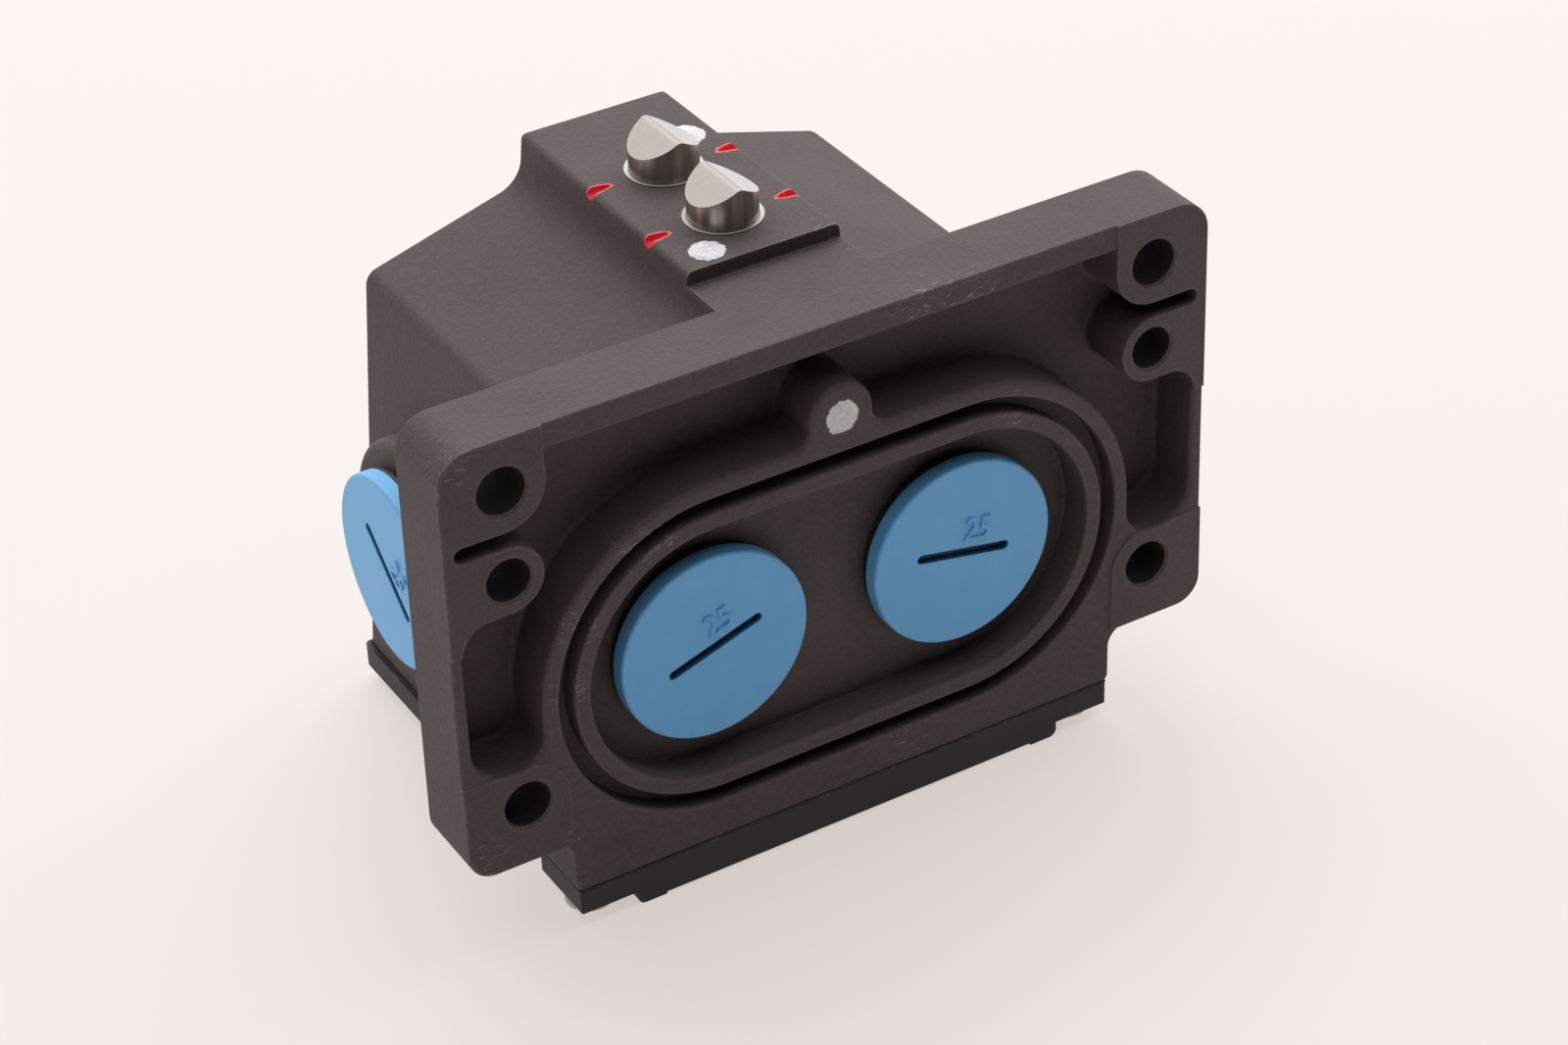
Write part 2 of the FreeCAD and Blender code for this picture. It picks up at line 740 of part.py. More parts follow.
def bore_housing(body):
    """Drills every hole of the casting."""
    bolts = sketch_on(body, "bolt_hole_circles", "XZ")
    for side in ("", "-"):
        for level in (BOLT_Z, "-" + BOLT_Z):
            circle(bolts, side + BOLT_X, level, "bolt_hole / 2")
        circle(bolts, side + BOLT_X, "middle_hole_level", "middle_hole / 2")
    pocket(body, "bolt_holes", bolts, "flange_thickness")
    mouths = edges_where(body, lambda middle, edge: near(middle.y, "0")
                         and isinstance(edge.Curve, Part.Circle)
                         and near(edge.Curve.Center.x ** 2, BOLT_X + "^ 2")
                         and edge.Curve.Radius < number("bolt_hole / 2") + 0.01)
    chamfer(body, "bolt_hole_mouths", mouths, "hole_chamfer")

    entries = sketch_on(body, "entry_circles", "XZ", "-recess_depth")
    circle(entries, ENTRY_X, "entry_level", "entry_hole / 2")
    circle(entries, "-" + ENTRY_X, "entry_level", "entry_hole / 2")
    pocket(body, "front_entries", entries, "front_wall_depth - recess_depth + 1")
    side = sketch_on(body, "side_entry_circle", "YZ", "-side_boss_face")
    circle(side, "side_entry_depth", "side_entry_level", "entry_hole / 2")
    pocket(body, "side_entry", side, "side_boss_face - housing_half_top + wall + 1", True)

    bushes = sketch_on(body, "bush_circles", "XY", "block_top")
    for depth in PLUNGER_DEPTHS.values():
        circle(bushes, "0", depth, "bush_diameter / 2 + press_gap")
    pocket(body, "bush_bores", bushes, "block_top - cavity_roof")

    heads = sketch_on(body, "block_screw_seats", "XY", "block_top")
    shanks = sketch_on(body, "block_screw_circles", "XY", "block_top")
    for x, depth in block_screw_places():
        circle(heads, x, depth, "sealed_head / 2 + screw_gap")
        circle(shanks, x, depth, "screw_three / 2 + screw_gap")
    pocket(body, "block_screw_heads", heads, "seal_dot_depth + screw_three_head_height")
    pocket(body, "block_screw_holes", shanks, "block_top - cavity_roof")
    head = sketch_on(body, "boss_screw_seat", "XZ", "-land_depth")
    circle(head, "0", "boss_level", "sealed_head / 2 + screw_gap")
    pocket(body, "boss_screw_head", head, "seal_dot_depth + screw_three_head_height")
    shank = sketch_on(body, "boss_screw_circle", "XZ", "-land_depth")
    circle(shank, "0", "boss_level", "screw_three / 2 + screw_gap")
    pocket(body, "boss_screw_hole", shank, "front_wall_depth - land_depth")

    covers = sketch_on(body, "cover_screw_circles", "XY", "joint_level")
    for x, depth in cover_screw_places():
        circle(covers, x, depth, "screw_four / 2 + screw_gap")
    pocket(body, "cover_screw_holes", covers, "screw_four_length", True)
    earth = sketch_on(body, "earth_screw_circle", "XY", "earth_column_base")
    circle(earth, "earth_x", "earth_depth", "screw_four / 2 + screw_gap")
    pocket(body, "earth_screw_hole", earth, "screw_four_length", True)

    ground = next(item for item in body.Origin.OriginFeatures if item.Role == "XY_Plane")
    for side in (-1, 1):
        for name, depth in PLUNGER_DEPTHS.items():
            notch = body.newObject("PartDesign::SubtractiveEllipsoid", "notch_%s_%d" % (name, side + 1))
            notch.setExpression("Radius1", bound("notch_depth"))
            notch.setExpression("Radius2", bound("notch_length"))
            notch.setExpression("Radius3", bound("notch_half_width"))
            notch.setExpression("AttachmentOffset.Base.x", bound("%d * ridge_half_top" % side))
            notch.setExpression("AttachmentOffset.Base.y", bound(depth))
            notch.setExpression("AttachmentOffset.Base.z", bound("block_top"))
            notch.AttachmentSupport = (ground, [""])
            notch.MapMode = "FlatFace"
            settled(notch)


def cover_screw_places():
    """The four cover screws, as places on a sketch that looks along Z."""
    return [
        ("-cover_screw_front_x", "cover_screw_front_depth"),
        ("cover_screw_front_x", "cover_screw_front_depth"),
        ("-cover_screw_rear_x", "cover_screw_rear_depth"),
        ("cover_screw_rear_x", "cover_screw_rear_depth"),
    ]


# Plungers with their guides, clips and springs
def make_plunger(where):
    """A round stem with a roof on top, a keyway, a clip groove and a tappet below."""
    body = body_named("plunger_" + where)
    radius = "plunger_diameter / 2"
    top = "(block_top + plunger_height)"
    groove_low = CLIP_TOP + " - clip_thickness - running_gap"
    section = sketch_on(body, "stem_section", "XZ")
    dome = "tappet_diameter / 2"
    outline(section, [
        ("0", TAPPET_END),
        (dome, TAPPET_END + " + " + dome, dome, 1),
        (dome, "stem_base"),
        (radius, "stem_base"),
        (radius, groove_low),
        (radius + " - clip_groove_depth", groove_low),
        (radius + " - clip_groove_depth", CLIP_TOP),
        (radius, CLIP_TOP),
        (radius, top),
        ("0", top),
    ])
    spun(body, "stem", section, "V_Axis")
    roof = sketch_on(body, "roof_section", "XZ", "-plunger_diameter")
    eave = top + " - plunger_diameter * tan(roof_angle)"
    outline(roof, [
        ("0", top),
        ("plunger_diameter", eave),
        ("plunger_diameter", top + " + 1"),
        ("-plunger_diameter", top + " + 1"),
        ("-plunger_diameter", eave),
    ])
    pocket(body, "roof", roof, "2 * plunger_diameter", True)
    crest = edges_where(body, lambda middle, edge: near(middle.z, top) and near(middle.x, "0"))
    fillet(body, "roof_crest", crest, "roof_round")
    keyway = sketch_on(body, "keyway_section", "XZ", "-plunger_diameter / 2")
    rectangle(keyway, "-key_width / 2 - key_gap", "stem_base", "key_width / 2 + key_gap", "keyway_top")
    pocket(body, "keyway", keyway, "key_depth + key_gap", True)
    place_along(body, "y", PLUNGER_DEPTHS[where])
    return body


def make_bush(where):
    """A flush-pressed guide ring with a key inside its lower end."""
    body = body_named("guide_bush_" + where)
    base = sketch_on(body, "bush_section", "XY", "cavity_roof")
    circle(base, "0", "0", "bush_diameter / 2")
    circle(base, "0", "0", "plunger_diameter / 2 + running_gap")
    pad(body, "bush_ring", base, "block_top + bush_proud - cavity_roof")
    rim = edges_where(body, lambda middle, edge: near(middle.z, "block_top + bush_proud")
                      and near(edge.Curve.Radius, "bush_diameter / 2"))
    fillet(body, "bush_rim", rim, "bush_round")
    key = sketch_on(body, "key_section", "XY", "cavity_roof")
    rectangle(key, "-key_width / 2", "plunger_diameter / 2 - key_depth",
              "key_width / 2", "(bush_diameter + plunger_diameter) / 4")
    pad(body, "key", key, "key_length")
    place_along(body, "y", PLUNGER_DEPTHS[where])
    return body


def make_clip(where):
    """A retaining ring that stops the plunger against its bush."""
    body = body_named("retaining_ring_" + where)
    ring = sketch_on(body, "ring_section", "XY", CLIP_TOP + " - clip_thickness")
    circle(ring, "0", "0", "clip_outer / 2")
    circle(ring, "0", "0", "plunger_diameter / 2 - clip_groove_depth + running_gap")
    pad(body, "ring", ring, "clip_thickness")
    gap = sketch_on(body, "ring_gap", "XY", CLIP_TOP)
    rectangle(gap, "-clip_gap_width / 2", "-clip_outer", "clip_gap_width / 2", "0")
    pocket(body, "gap", gap, "clip_thickness")
    place_along(body, "y", PLUNGER_DEPTHS[where])
    return body


def make_spring(where):
    """A coil spring round the tappet, from the carrier's plate up to the stem's shoulder."""
    wire = number("spring_wire")
    radius = number("spring_mean_radius")
    low = number("carrier_plate_top") + wire / 2
    height = number("stem_base") - wire / 2 - low
    helix = Part.makeHelix(height / number("spring_turns"), height, radius)
    start = FreeCAD.Vector(radius, 0, 0)
    section = Part.Wire(Part.makeCircle(wire / 2, start, FreeCAD.Vector(0, 1, 0)))
    coil = helix.makePipeShell([section], True, True)
    spring = doc.addObject("Part::Feature", "return_spring_" + where)
    spring.Label = "return_spring_" + where
    spring.Shape = coil
    spring.setExpression("Placement.Base.y", bound(PLUNGER_DEPTHS[where]))
    spring.setExpression("Placement.Base.z", bound("carrier_plate_top + spring_wire / 2"))
    NODES[spring.Label] = spring
    return spring


# Carrier and snap switches
def make_carrier():
    """A frame that holds both snap switches side by side under the plungers."""
    body = body_named("switch_carrier")
    section = sketch_on(body, "frame_section", "XZ", "-carrier_front")
    rectangle(section, "carrier_left", "carrier_base", "carrier_right", "carrier_plate_top")
    pad(body, "frame_block", section, CARRIER_BACK + " - carrier_front", True)
    plate_base = "carrier_plate_top - carrier_plate"
    lug_back = "front_wall_depth + carrier_lug_wall"
    lug = sketch_on(body, "lug_section", "YZ", "-carrier_lug_half")
    outline(lug, [
        ("front_wall_depth", plate_base),
        ("carrier_front", plate_base),
        ("carrier_front", "carrier_plate_top"),
        (lug_back, "carrier_plate_top"),
        (lug_back, "cavity_roof"),
        ("front_wall_depth", "cavity_roof"),
    ])
    pad(body, "lug", lug, "2 * carrier_lug_half")
    posts = sketch_on(body, "post_circles", "XY", "carrier_plate_top")
    bores = sketch_on(body, "post_bore_circles", "XY", "cavity_roof")
    for x, depth in block_screw_places():
        circle(posts, x, depth, "carrier_post_radius")
        circle(bores, x, depth, "screw_three / 2 + screw_gap")
    pad(body, "posts", posts, "cavity_roof - carrier_plate_top")
    pocket(body, "post_bores", bores, "carrier_post_bore")

    slots = sketch_on(body, "case_slots_section", "YZ", "carrier_right")
    for depth in PLUNGER_DEPTHS.values():
        front = depth + " - case_thickness / 2"
        rectangle(slots, front, "carrier_base - 1", front + " + case_thickness", plate_base)
    pocket(body, "case_slots", slots, "carrier_right - carrier_left")
    holes = sketch_on(body, "tappet_hole_circles", "XY", "carrier_plate_top")
    for depth in PLUNGER_DEPTHS.values():
        circle(holes, "0", depth, "tappet_diameter / 2 + tappet_gap")
    pocket(body, "tappet_holes", holes, "carrier_plate")
    across = sketch_on(body, "cross_hole_circles", "XZ", "-carrier_front")
    circle(across, "pivot_x", "pivot_level", "pivot_diameter / 2 + press_gap")
    for x, level in case_screw_places():
        circle(across, x, level, "screw_three / 2 + screw_gap")
    pocket(body, "cross_holes", across, CARRIER_BACK + " - carrier_front")
    shank = sketch_on(body, "lug_hole_circle", "XZ", "-front_wall_depth")
    circle(shank, "0", "boss_level", "screw_three / 2 + screw_gap")
    pocket(body, "lug_hole", shank, "carrier_lug_wall")


def make_snap_switch(where):
    """The closed case of a snap switch, with a well for its button and two holes across.

    Its top steps down under the lever's free end, which swings lowest there.
    """
    body = body_named("snap_switch_" + where)
    right = "case_left + case_length"
    low_top = "case_top - case_step_drop"
    section = sketch_on(body, "case_section", "XZ", "case_thickness / 2")
    outline(section, [
        ("case_left", CASE_BASE, "case_round"),
        (right, CASE_BASE, "case_round"),
        (right, low_top, "case_round"),
        ("case_step", low_top, "case_round"),
        ("case_step", "case_top", "case_round"),
        ("case_left", "case_top", "case_round"),
    ])
    pad(body, "case", section, "case_thickness", True)
    well = sketch_on(body, "button_well_circle", "XY", "case_top")
    circle(well, BUTTON_X, "0", "button_diameter / 2 + button_gap")
    pocket(body, "button_well_bore", well, "button_well")
    across = sketch_on(body, "case_hole_circles", "XZ", "case_thickness / 2")
    for x, level in case_screw_places():
        circle(across, x, level, "screw_three / 2 + screw_gap")
    pocket(body, "case_holes", across, "case_thickness")
    place_along(body, "y", PLUNGER_DEPTHS[where])


def make_button(where):
    """The snap switch's own small button."""
    body = body_named("switch_button_" + where)
    top = sketch_on(body, "button_circle", "XY", "case_top + button_proud - button_length")
    circle(top, BUTTON_X, "0", "button_diameter / 2")
    pad(body, "button_pin", top, "button_length")
    rim = edges_where(body, lambda middle, edge: near(middle.z, "case_top + button_proud"))
    fillet(body, "button_crown", rim, "button_round")
    place_along(body, "y", PLUNGER_DEPTHS[where])


def make_lever(where):
    """A rocker with an eye on the shaft, a flat under the tappet and a nose over the button."""
    body = body_named("switch_lever_" + where)
    half = "lever_width / 2"
    plate = sketch_on(body, "plate_section", "XZ", half)
    top = "pivot_level + lever_top"
    rectangle(plate, "pivot_x", top + " - lever_plate", "pivot_x + lever_reach", top)
    pad(body, "plate", plate, "lever_width", True)
    eye = sketch_on(body, "eye_circle", "XZ", half)
    circle(eye, "pivot_x", "pivot_level", "lever_eye_radius")
    pad(body, "eye", eye, "lever_width", True)
    nose = sketch_on(body, "nose_section", "XZ", half)
    outline(nose, [
        (BUTTON_X + " - nose_radius", "pivot_level"),
        (BUTTON_X, "pivot_level - nose_radius", "nose_radius", 1),
        (BUTTON_X + " + nose_radius", "pivot_level", "nose_radius", 1),
        (BUTTON_X + " + nose_radius", "pivot_level + lever_top / 2"),
        (BUTTON_X + " - nose_radius", "pivot_level + lever_top / 2"),
    ])
    pad(body, "nose", nose, "lever_width", True)
    bore = sketch_on(body, "eye_bore_circle", "XZ", half)
    circle(bore, "pivot_x", "pivot_level", "pivot_diameter / 2 + running_gap")
    pocket(body, "eye_bore", bore, "lever_width")
    place_along(body, "y", PLUNGER_DEPTHS[where])


def make_shaft():
    """The pin that both levers turn on."""
    body = body_named("lever_shaft")
    section = sketch_on(body, "shaft_circle", "XZ", "-carrier_front")
    circle(section, "pivot_x", "pivot_level", "pivot_diameter / 2")
    pad(body, "shaft", section, CARRIER_BACK + " - carrier_front", True)


def make_terminals(where):
    """Three brass clamps under a snap switch, each with a wire hole and a screw hole."""
    body = body_named("terminals_" + where)
    blocks = sketch_on(body, "clamp_sections", "XZ", "terminal_depth / 2")
    wires = sketch_on(body, "wire_hole_circles", "XZ", "terminal_depth / 2")
    threads = sketch_on(body, "clamp_screw_circles", "XY", CASE_BASE + " - terminal_height")
    for x in TERMINAL_PLACES:
        rectangle(blocks, x + " - terminal_width / 2", CASE_BASE + " - terminal_height",
                  x + " + terminal_width / 2", CASE_BASE)
        circle(wires, x, "wire_hole_level", "wire_hole / 2")
        circle(threads, x, "0", "screw_three / 2 + screw_gap")
    pad(body, "clamps", blocks, "terminal_depth", True)
    pocket(body, "wire_holes", wires, "terminal_depth")
    depth = "wire_hole_level - wire_hole / 4 - " + CASE_BASE + " + terminal_height"
    pocket(body, "clamp_screw_holes", threads, depth, True)
    place_along(body, "y", PLUNGER_DEPTHS[where])


# Screws
def screw_group(body, plane, face, places, name, head, head_height, shank, length, into=False):
    """Slotted screws whose heads stand on one face: the heads grow outward, the shanks inward.

    into tells that inward is along the sketch plane's normal.
    """
    heads = sketch_on(body, name + "_head_circles", plane, face)
    shanks = sketch_on(body, name + "_shank_circles", plane, face)
    head_top = face + (" - " if into else " + ") + head_height
    slots = sketch_on(body, name + "_slot_sections", plane, head_top)
    for x, y in places:
        circle(heads, x, y, head + " / 2")
        circle(shanks, x, y, shank + " / 2")
        turned_slot(slots, x, y, head + " + 1", "screw_slot_width", "screw_slot_turn")
    pad(body, name + "_shanks", shanks, length, not into)
    pad(body, name + "_heads", heads, head_height, into)
    pocket(body, name + "_slots", slots, "screw_slot_depth", into)


def turned_slot(sketch, x, y, length, width, turn):
    """Draws a rectangle round a point, turned by an angle."""
    corners = []
    for along, across in ((-1, -1), (1, -1), (1, 1), (-1, 1)):
        reach = "(%d * (%s) / 2)" % (along, length)
        side = "(%d * %s / 2)" % (across, width)
        corners.append((
            "%s + %s * cos(%s) - %s * sin(%s)" % (x, reach, turn, side, turn),
            "%s + %s * sin(%s) + %s * cos(%s)" % (y, reach, turn, side, turn),
        ))
    outline(sketch, corners)


def block_screw_places():
    """The two screws through the guide block, as places on a sketch that looks along Z."""
    return [("-block_screw_x", "block_screw_front_depth"), ("block_screw_x", "block_screw_rear_depth")]


def case_screw_places():
    """The two screws across both snap switches, as places on a sketch that looks along Y."""
    return [("case_screw_left", "case_screw_low"), ("case_screw_right", "case_screw_high")]


def make_case_screws():
    """Two long screws through the carrier and both snap switches, each with its nut."""
    body = body_named("switch_screws")
    length = CARRIER_BACK + " - carrier_front + nut_height + 1"
    screw_group(body, "XZ", "-carrier_front", case_screw_places(), "case_screw",
                "screw_three_head", "screw_three_head_height", "screw_three", length)
    nuts = sketch_on(body, "nut_sections", "XZ", "-" + CARRIER_BACK)
    for x, level in case_screw_places():
        corners = []
        for turn in range(0, 360, 60):
            reach = "nut_flats / 2 / cos(30)"
            corners.append((
                "%s + %s * cos(%d)" % (x, reach, turn),
                "%s + %s * sin(%d)" % (level, reach, turn),
            ))
        outline(nuts, corners)
        circle(nuts, x, level, "screw_three / 2 + press_gap")
    pad(body, "nuts", nuts, "nut_height", True)


def make_terminal_screws(where):
    """The three clamp screws of one snap switch."""
    body = body_named("terminal_screws_" + where)
    places = [(x, "0") for x in TERMINAL_PLACES]
    screw_group(body, "XY", CASE_BASE + " - terminal_height", places, "clamp_screw", "terminal_screw_head",
                "terminal_screw_head_height", "screw_three", "terminal_screw_length", True)
    place_along(body, "y", PLUNGER_DEPTHS[where])


def make_screws():
    """The screws that hold the carrier, the base cover and the earth clamp."""
    sunk = "(seal_dot_depth + screw_three_head_height)"
    block = body_named("block_screws")
    screw_group(block, "XY", "block_top - " + sunk, block_screw_places(), "block_screw",
                "sealed_head", "screw_three_head_height", "screw_three", "block_screw_length")
    boss = body_named("boss_screw")
    screw_group(boss, "XZ", "-(land_depth + " + sunk + ")", [("0", "boss_level")], "boss_screw",
                "sealed_head", "screw_three_head_height", "screw_three", "boss_screw_length")
    cover = body_named("cover_screws")
    screw_group(cover, "XY", COVER_BASE, cover_screw_places(), "cover_screw", "screw_four_head",
                "screw_four_head_height", "screw_four", "screw_four_length", True)
    earth = body_named("earth_screw")
    screw_group(earth, "XY", "earth_column_base - earth_clamp_thickness", [("earth_x", "earth_depth")],
                "earth_screw", "screw_four_head", "screw_four_head_height", "screw_four",
                "earth_screw_length", True)


def make_lacquer():
    """Three drops of sealing lacquer over the heads of the block screws and the boss screw."""
    body = body_named("lacquer_seals")
    drops = sketch_on(body, "block_drop_circles", "XY", "block_top - seal_dot_depth")
    caps = sketch_on(body, "block_cap_circles", "XY", "block_top")
    for x, depth in block_screw_places():
        circle(drops, x, depth, "sealed_head / 2")
        circle(caps, x, depth, "seal_dot_diameter / 2")
    pad(body, "block_drops", drops, "seal_dot_depth")
    pad(body, "block_caps", caps, "seal_dot_proud")
    drop = sketch_on(body, "boss_drop_circle", "XZ", "-(land_depth + seal_dot_depth)")
    circle(drop, "0", "boss_level", "sealed_head / 2")
    pad(body, "boss_drop", drop, "seal_dot_depth")
    cap = sketch_on(body, "boss_cap_circle", "XZ", "-land_depth")
    circle(cap, "0", "boss_level", "seal_dot_diameter / 2")
    pad(body, "boss_cap", cap, "seal_dot_proud")
    crowns = edges_where(body, lambda middle, edge: near(middle.z, "block_top + seal_dot_proud")
                         or near(middle.y, "land_depth - seal_dot_proud"))
    fillet(body, "drop_crowns", crowns, "seal_dot_round")


def make_earth_clamp():
    """A square washer that the earth screw presses a wire with."""
    body = body_named("earth_clamp")
    plate = sketch_on(body, "clamp_section", "XY", "earth_column_base - earth_clamp_thickness")
    half = "earth_clamp / 2"
    rectangle(plate, "earth_x - " + half, "earth_depth - " + half,
              "earth_x + " + half, "earth_depth + " + half)
    circle(plate, "earth_x", "earth_depth", "screw_four / 2 + screw_gap")
    pad(body, "clamp_plate", plate, "earth_clamp_thickness")


# Blanking plugs and their seals
def make_plug(where, plane, x, y, face, turn, along):
    """A plug with a slotted flat head and a hollow shank.

    along tells that it points along the plane's normal.
    """
    body = body_named("blanking_plug_" + where)
    step = " + " if along else " - "
    head = sketch_on(body, "head_circle", plane, face)
    circle(head, x, y, "plug_head_diameter / 2")
    pad(body, "head", head, "plug_head", not along)
    rims = edges_where(body, lambda middle, edge: near(middle.x if along else -middle.y, face)
                       and isinstance(edge.Curve, Part.Circle))
    fillet(body, "head_edge", rims, "plug_head_round")
    shank = sketch_on(body, "shank_circle", plane, face + step + "plug_head")
    circle(shank, x, y, "plug_thread / 2")
    pad(body, "shank", shank, "plug_length", not along)
    bore = sketch_on(body, "bore_circle", plane, face + step + "(plug_head + plug_length)")
    circle(bore, x, y, "plug_bore / 2")
    pocket(body, "bore", bore, "plug_bore_depth", not along)
    slot = sketch_on(body, "slot_section", plane, face)
    slot.AttachmentOffset.Rotation = FreeCAD.Rotation(FreeCAD.Vector(0, 0, 1), number(turn))
    slot.setExpression("AttachmentOffset.Base.x", bound(x))
    slot.setExpression("AttachmentOffset.Base.y", bound(y))
    slot.setExpression("AttachmentOffset.Rotation.Angle", bound(turn))
    tip = "plug_slot_length / 2"
    edge = "plug_slot_width / 2"
    end = "(plug_slot_length - plug_slot_width) / 2"
    outline(slot, [
        (end, "-" + edge),
        (tip, "0", edge, 1),
        (end, edge, edge, 1),
        ("-" + end, edge),
        ("-" + tip, "0", edge, 1),
        ("-" + end, "-" + edge, edge, 1),
    ])
    pocket(body, "slot", slot, "plug_slot_depth", along)


def make_plug_seal(where, x, depth, level, turned):
    """A round sealing ring under a plug's head."""
    ring = doc.addObject("Part::Torus", "plug_seal_" + where)
    ring.Label = "plug_seal_" + where
    ring.setExpression("Radius1", bound("seal_mean_radius"))
    ring.setExpression("Radius2", bound("seal_section / 2"))
    ring.Placement = FreeCAD.Placement(FreeCAD.Vector(), turned)
    ring.setExpression("Placement.Base.x", bound(x))
    ring.setExpression("Placement.Base.y", bound(depth))
    ring.setExpression("Placement.Base.z", bound(level))
    NODES[ring.Label] = ring


# Base cover
def make_cover():
    """A plate with a foot that stands on two strips, a locating spigot above and four screw holes."""
    body = body_named("base_cover")
    plate = sketch_on(body, "plate_section", "XY", COVER_BASE)
    half = [
        ("cover_front_half", "land_depth", "cover_front_corner"),
        ("cover_front_half", "flange_thickness"),
        ("cover_half", "flange_thickness"),
        ("cover_half", "housing_depth + cover_lip", "cover_back_corner"),
    ]
    outline(plate, half + mirrored(half))
    pad(body, "plate", plate, "cover_thickness")
    foot = sketch_on(body, "foot_section", "XY", COVER_BASE)
    rectangle(foot, "-foot_half", "land_depth", "foot_half", "housing_depth")
    pad(body, "foot", foot, "foot_height", True)
    ends = edges_where(body, lambda middle, edge: near(middle.z, COVER_BASE + " - foot_height")
                       and near(middle.x ** 2, "foot_half ^ 2"))
    fillet(body, "foot_ends", ends, "foot_round")
    hollow = sketch_on(body, "foot_hollow_section", "XY", COVER_BASE + " - foot_height")
    inner = "(foot_half - foot_lug)"
    rectangle(hollow, "-" + inner, "0", inner, "housing_depth + 1")
    pocket(body, "hollowed_foot", hollow, "foot_hollow", True)

    spigot = sketch_on(body, "spigot_section", "XY", COVER_TOP)
    for inset in ("spigot_gap", "(spigot_gap + spigot_width)"):
        reach = "housing_half_base - wall - " + inset
        front = "front_wall_depth + " + inset
        rectangle(spigot, "-(" + reach + ")", front, reach, CAVITY_BACK + " - " + inset)
    pad(body, "spigot", spigot, "spigot_height")
    reliefs = sketch_on(body, "column_relief_circles", "XY", COVER_TOP + " + spigot_height")
    for x, depth in cover_screw_places()[2:]:
        circle(reliefs, x, depth, "cover_column_radius + spigot_gap")
    pocket(body, "column_reliefs", reliefs, "spigot_height")

    holes = sketch_on(body, "cover_hole_circles", "XY", COVER_TOP)
    seats = sketch_on(body, "head_room_circles", "XY", COVER_BASE + " - foot_height")
    for x, depth in cover_screw_places():
        circle(holes, x, depth, "screw_four / 2 + screw_gap")
        circle(seats, x, depth, "screw_four_head / 2 + head_gap")
    pocket(body, "cover_holes", holes, "cover_thickness + foot_height")
    pocket(body, "head_rooms", seats, "foot_height", True)


def make_gasket():
    """A flat gasket between the casting and the base cover."""
    body = body_named("cover_gasket")
    ring = sketch_on(body, "gasket_section", "XY", COVER_TOP)
    outer = [
        ("cover_front_half - gasket_inset", "land_depth + gasket_inset"),
        ("cover_front_half - gasket_inset", "flange_thickness"),
        ("housing_half_base - gasket_inset", "flange_thickness"),
        ("housing_half_base - gasket_inset", "housing_depth - gasket_inset"),
    ]
    outline(ring, outer + mirrored(outer))
    inner = "(housing_half_base - wall)"
    rectangle(ring, "-" + inner, "front_wall_depth", inner, CAVITY_BACK)
    pad(body, "gasket_ring", ring, "gasket_thickness")
    ears = sketch_on(body, "gasket_ear_circles", "XY", COVER_TOP)
    holes = sketch_on(body, "gasket_hole_circles", "XY", COVER_TOP + " + gasket_thickness")
    for x, depth in cover_screw_places():
        circle(holes, x, depth, "screw_four / 2 + screw_gap")
    for x, depth in cover_screw_places()[2:]:
        circle(ears, x, depth, "cover_column_radius")
    pad(body, "gasket_ears", ears, "gasket_thickness")
    pocket(body, "gasket_holes", holes, "gasket_thickness")


make_housing()
for where in PLUNGER_DEPTHS:
    make_plunger(where)
    make_bush(where)
    make_clip(where)
    make_spring(where)
    make_snap_switch(where)
    make_button(where)
    make_lever(where)
    make_terminals(where)
    make_terminal_screws(where)
make_carrier()
make_shaft()
make_case_screws()
make_screws()
make_lacquer()
make_earth_clamp()
make_plug("left", "XZ", "-" + ENTRY_X, "entry_level", "-plug_face_depth", "slot_turn_left", False)
make_plug("right", "XZ", ENTRY_X, "entry_level", "-plug_face_depth", "slot_turn_right", False)
make_plug("side", "YZ", "side_entry_depth", "side_entry_level", SIDE_PLUG_FACE, "slot_turn_side", True)
FACING_FRONT = FreeCAD.Rotation(FreeCAD.Vector(1, 0, 0), 90)
FACING_SIDE = FreeCAD.Rotation(FreeCAD.Vector(0, 1, 0), 90)
SEAL_DEPTH = "recess_depth - seal_section / 2"
make_plug_seal("left", "-" + ENTRY_X, SEAL_DEPTH, "entry_level", FACING_FRONT)
make_plug_seal("right", ENTRY_X, SEAL_DEPTH, "entry_level", FACING_FRONT)
make_plug_seal("side", "-(side_boss_face + seal_section / 2)", "side_entry_depth", "side_entry_level", FACING_SIDE)
make_cover()
make_gasket()
doc.recompute()

broken = [item.Name for item in doc.Objects if "Invalid" in item.State or "Error" in item.State]
if broken:
    raise RuntimeError("failed: " + ", ".join(broken))
os.makedirs("parts", exist_ok=True)
for label, item in NODES.items():
    shape = item.Shape
    if shape.isNull() or not shape.isValid() or not shape.Solids:
        raise RuntimeError(label + " has no valid shape")
    shape.exportStep("parts/" + label + ".step")
    print(label, "solids", len(shape.Solids), "volume", round(shape.Volume, 1))
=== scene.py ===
# %% [markdown]
# A cam switch, dressed for a portrait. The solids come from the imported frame: a cast housing with a bolting
# flange, two roof plungers, three blue blanking plugs and a base cover. They are right in shape, so this file
# gives them finishes, and adds the small things that a painter, a fitter and a moulder leave behind.

# %% Load the frame
import bmesh
import bpy
import json
import math
from mathutils import Matrix, Vector, noise as lumps


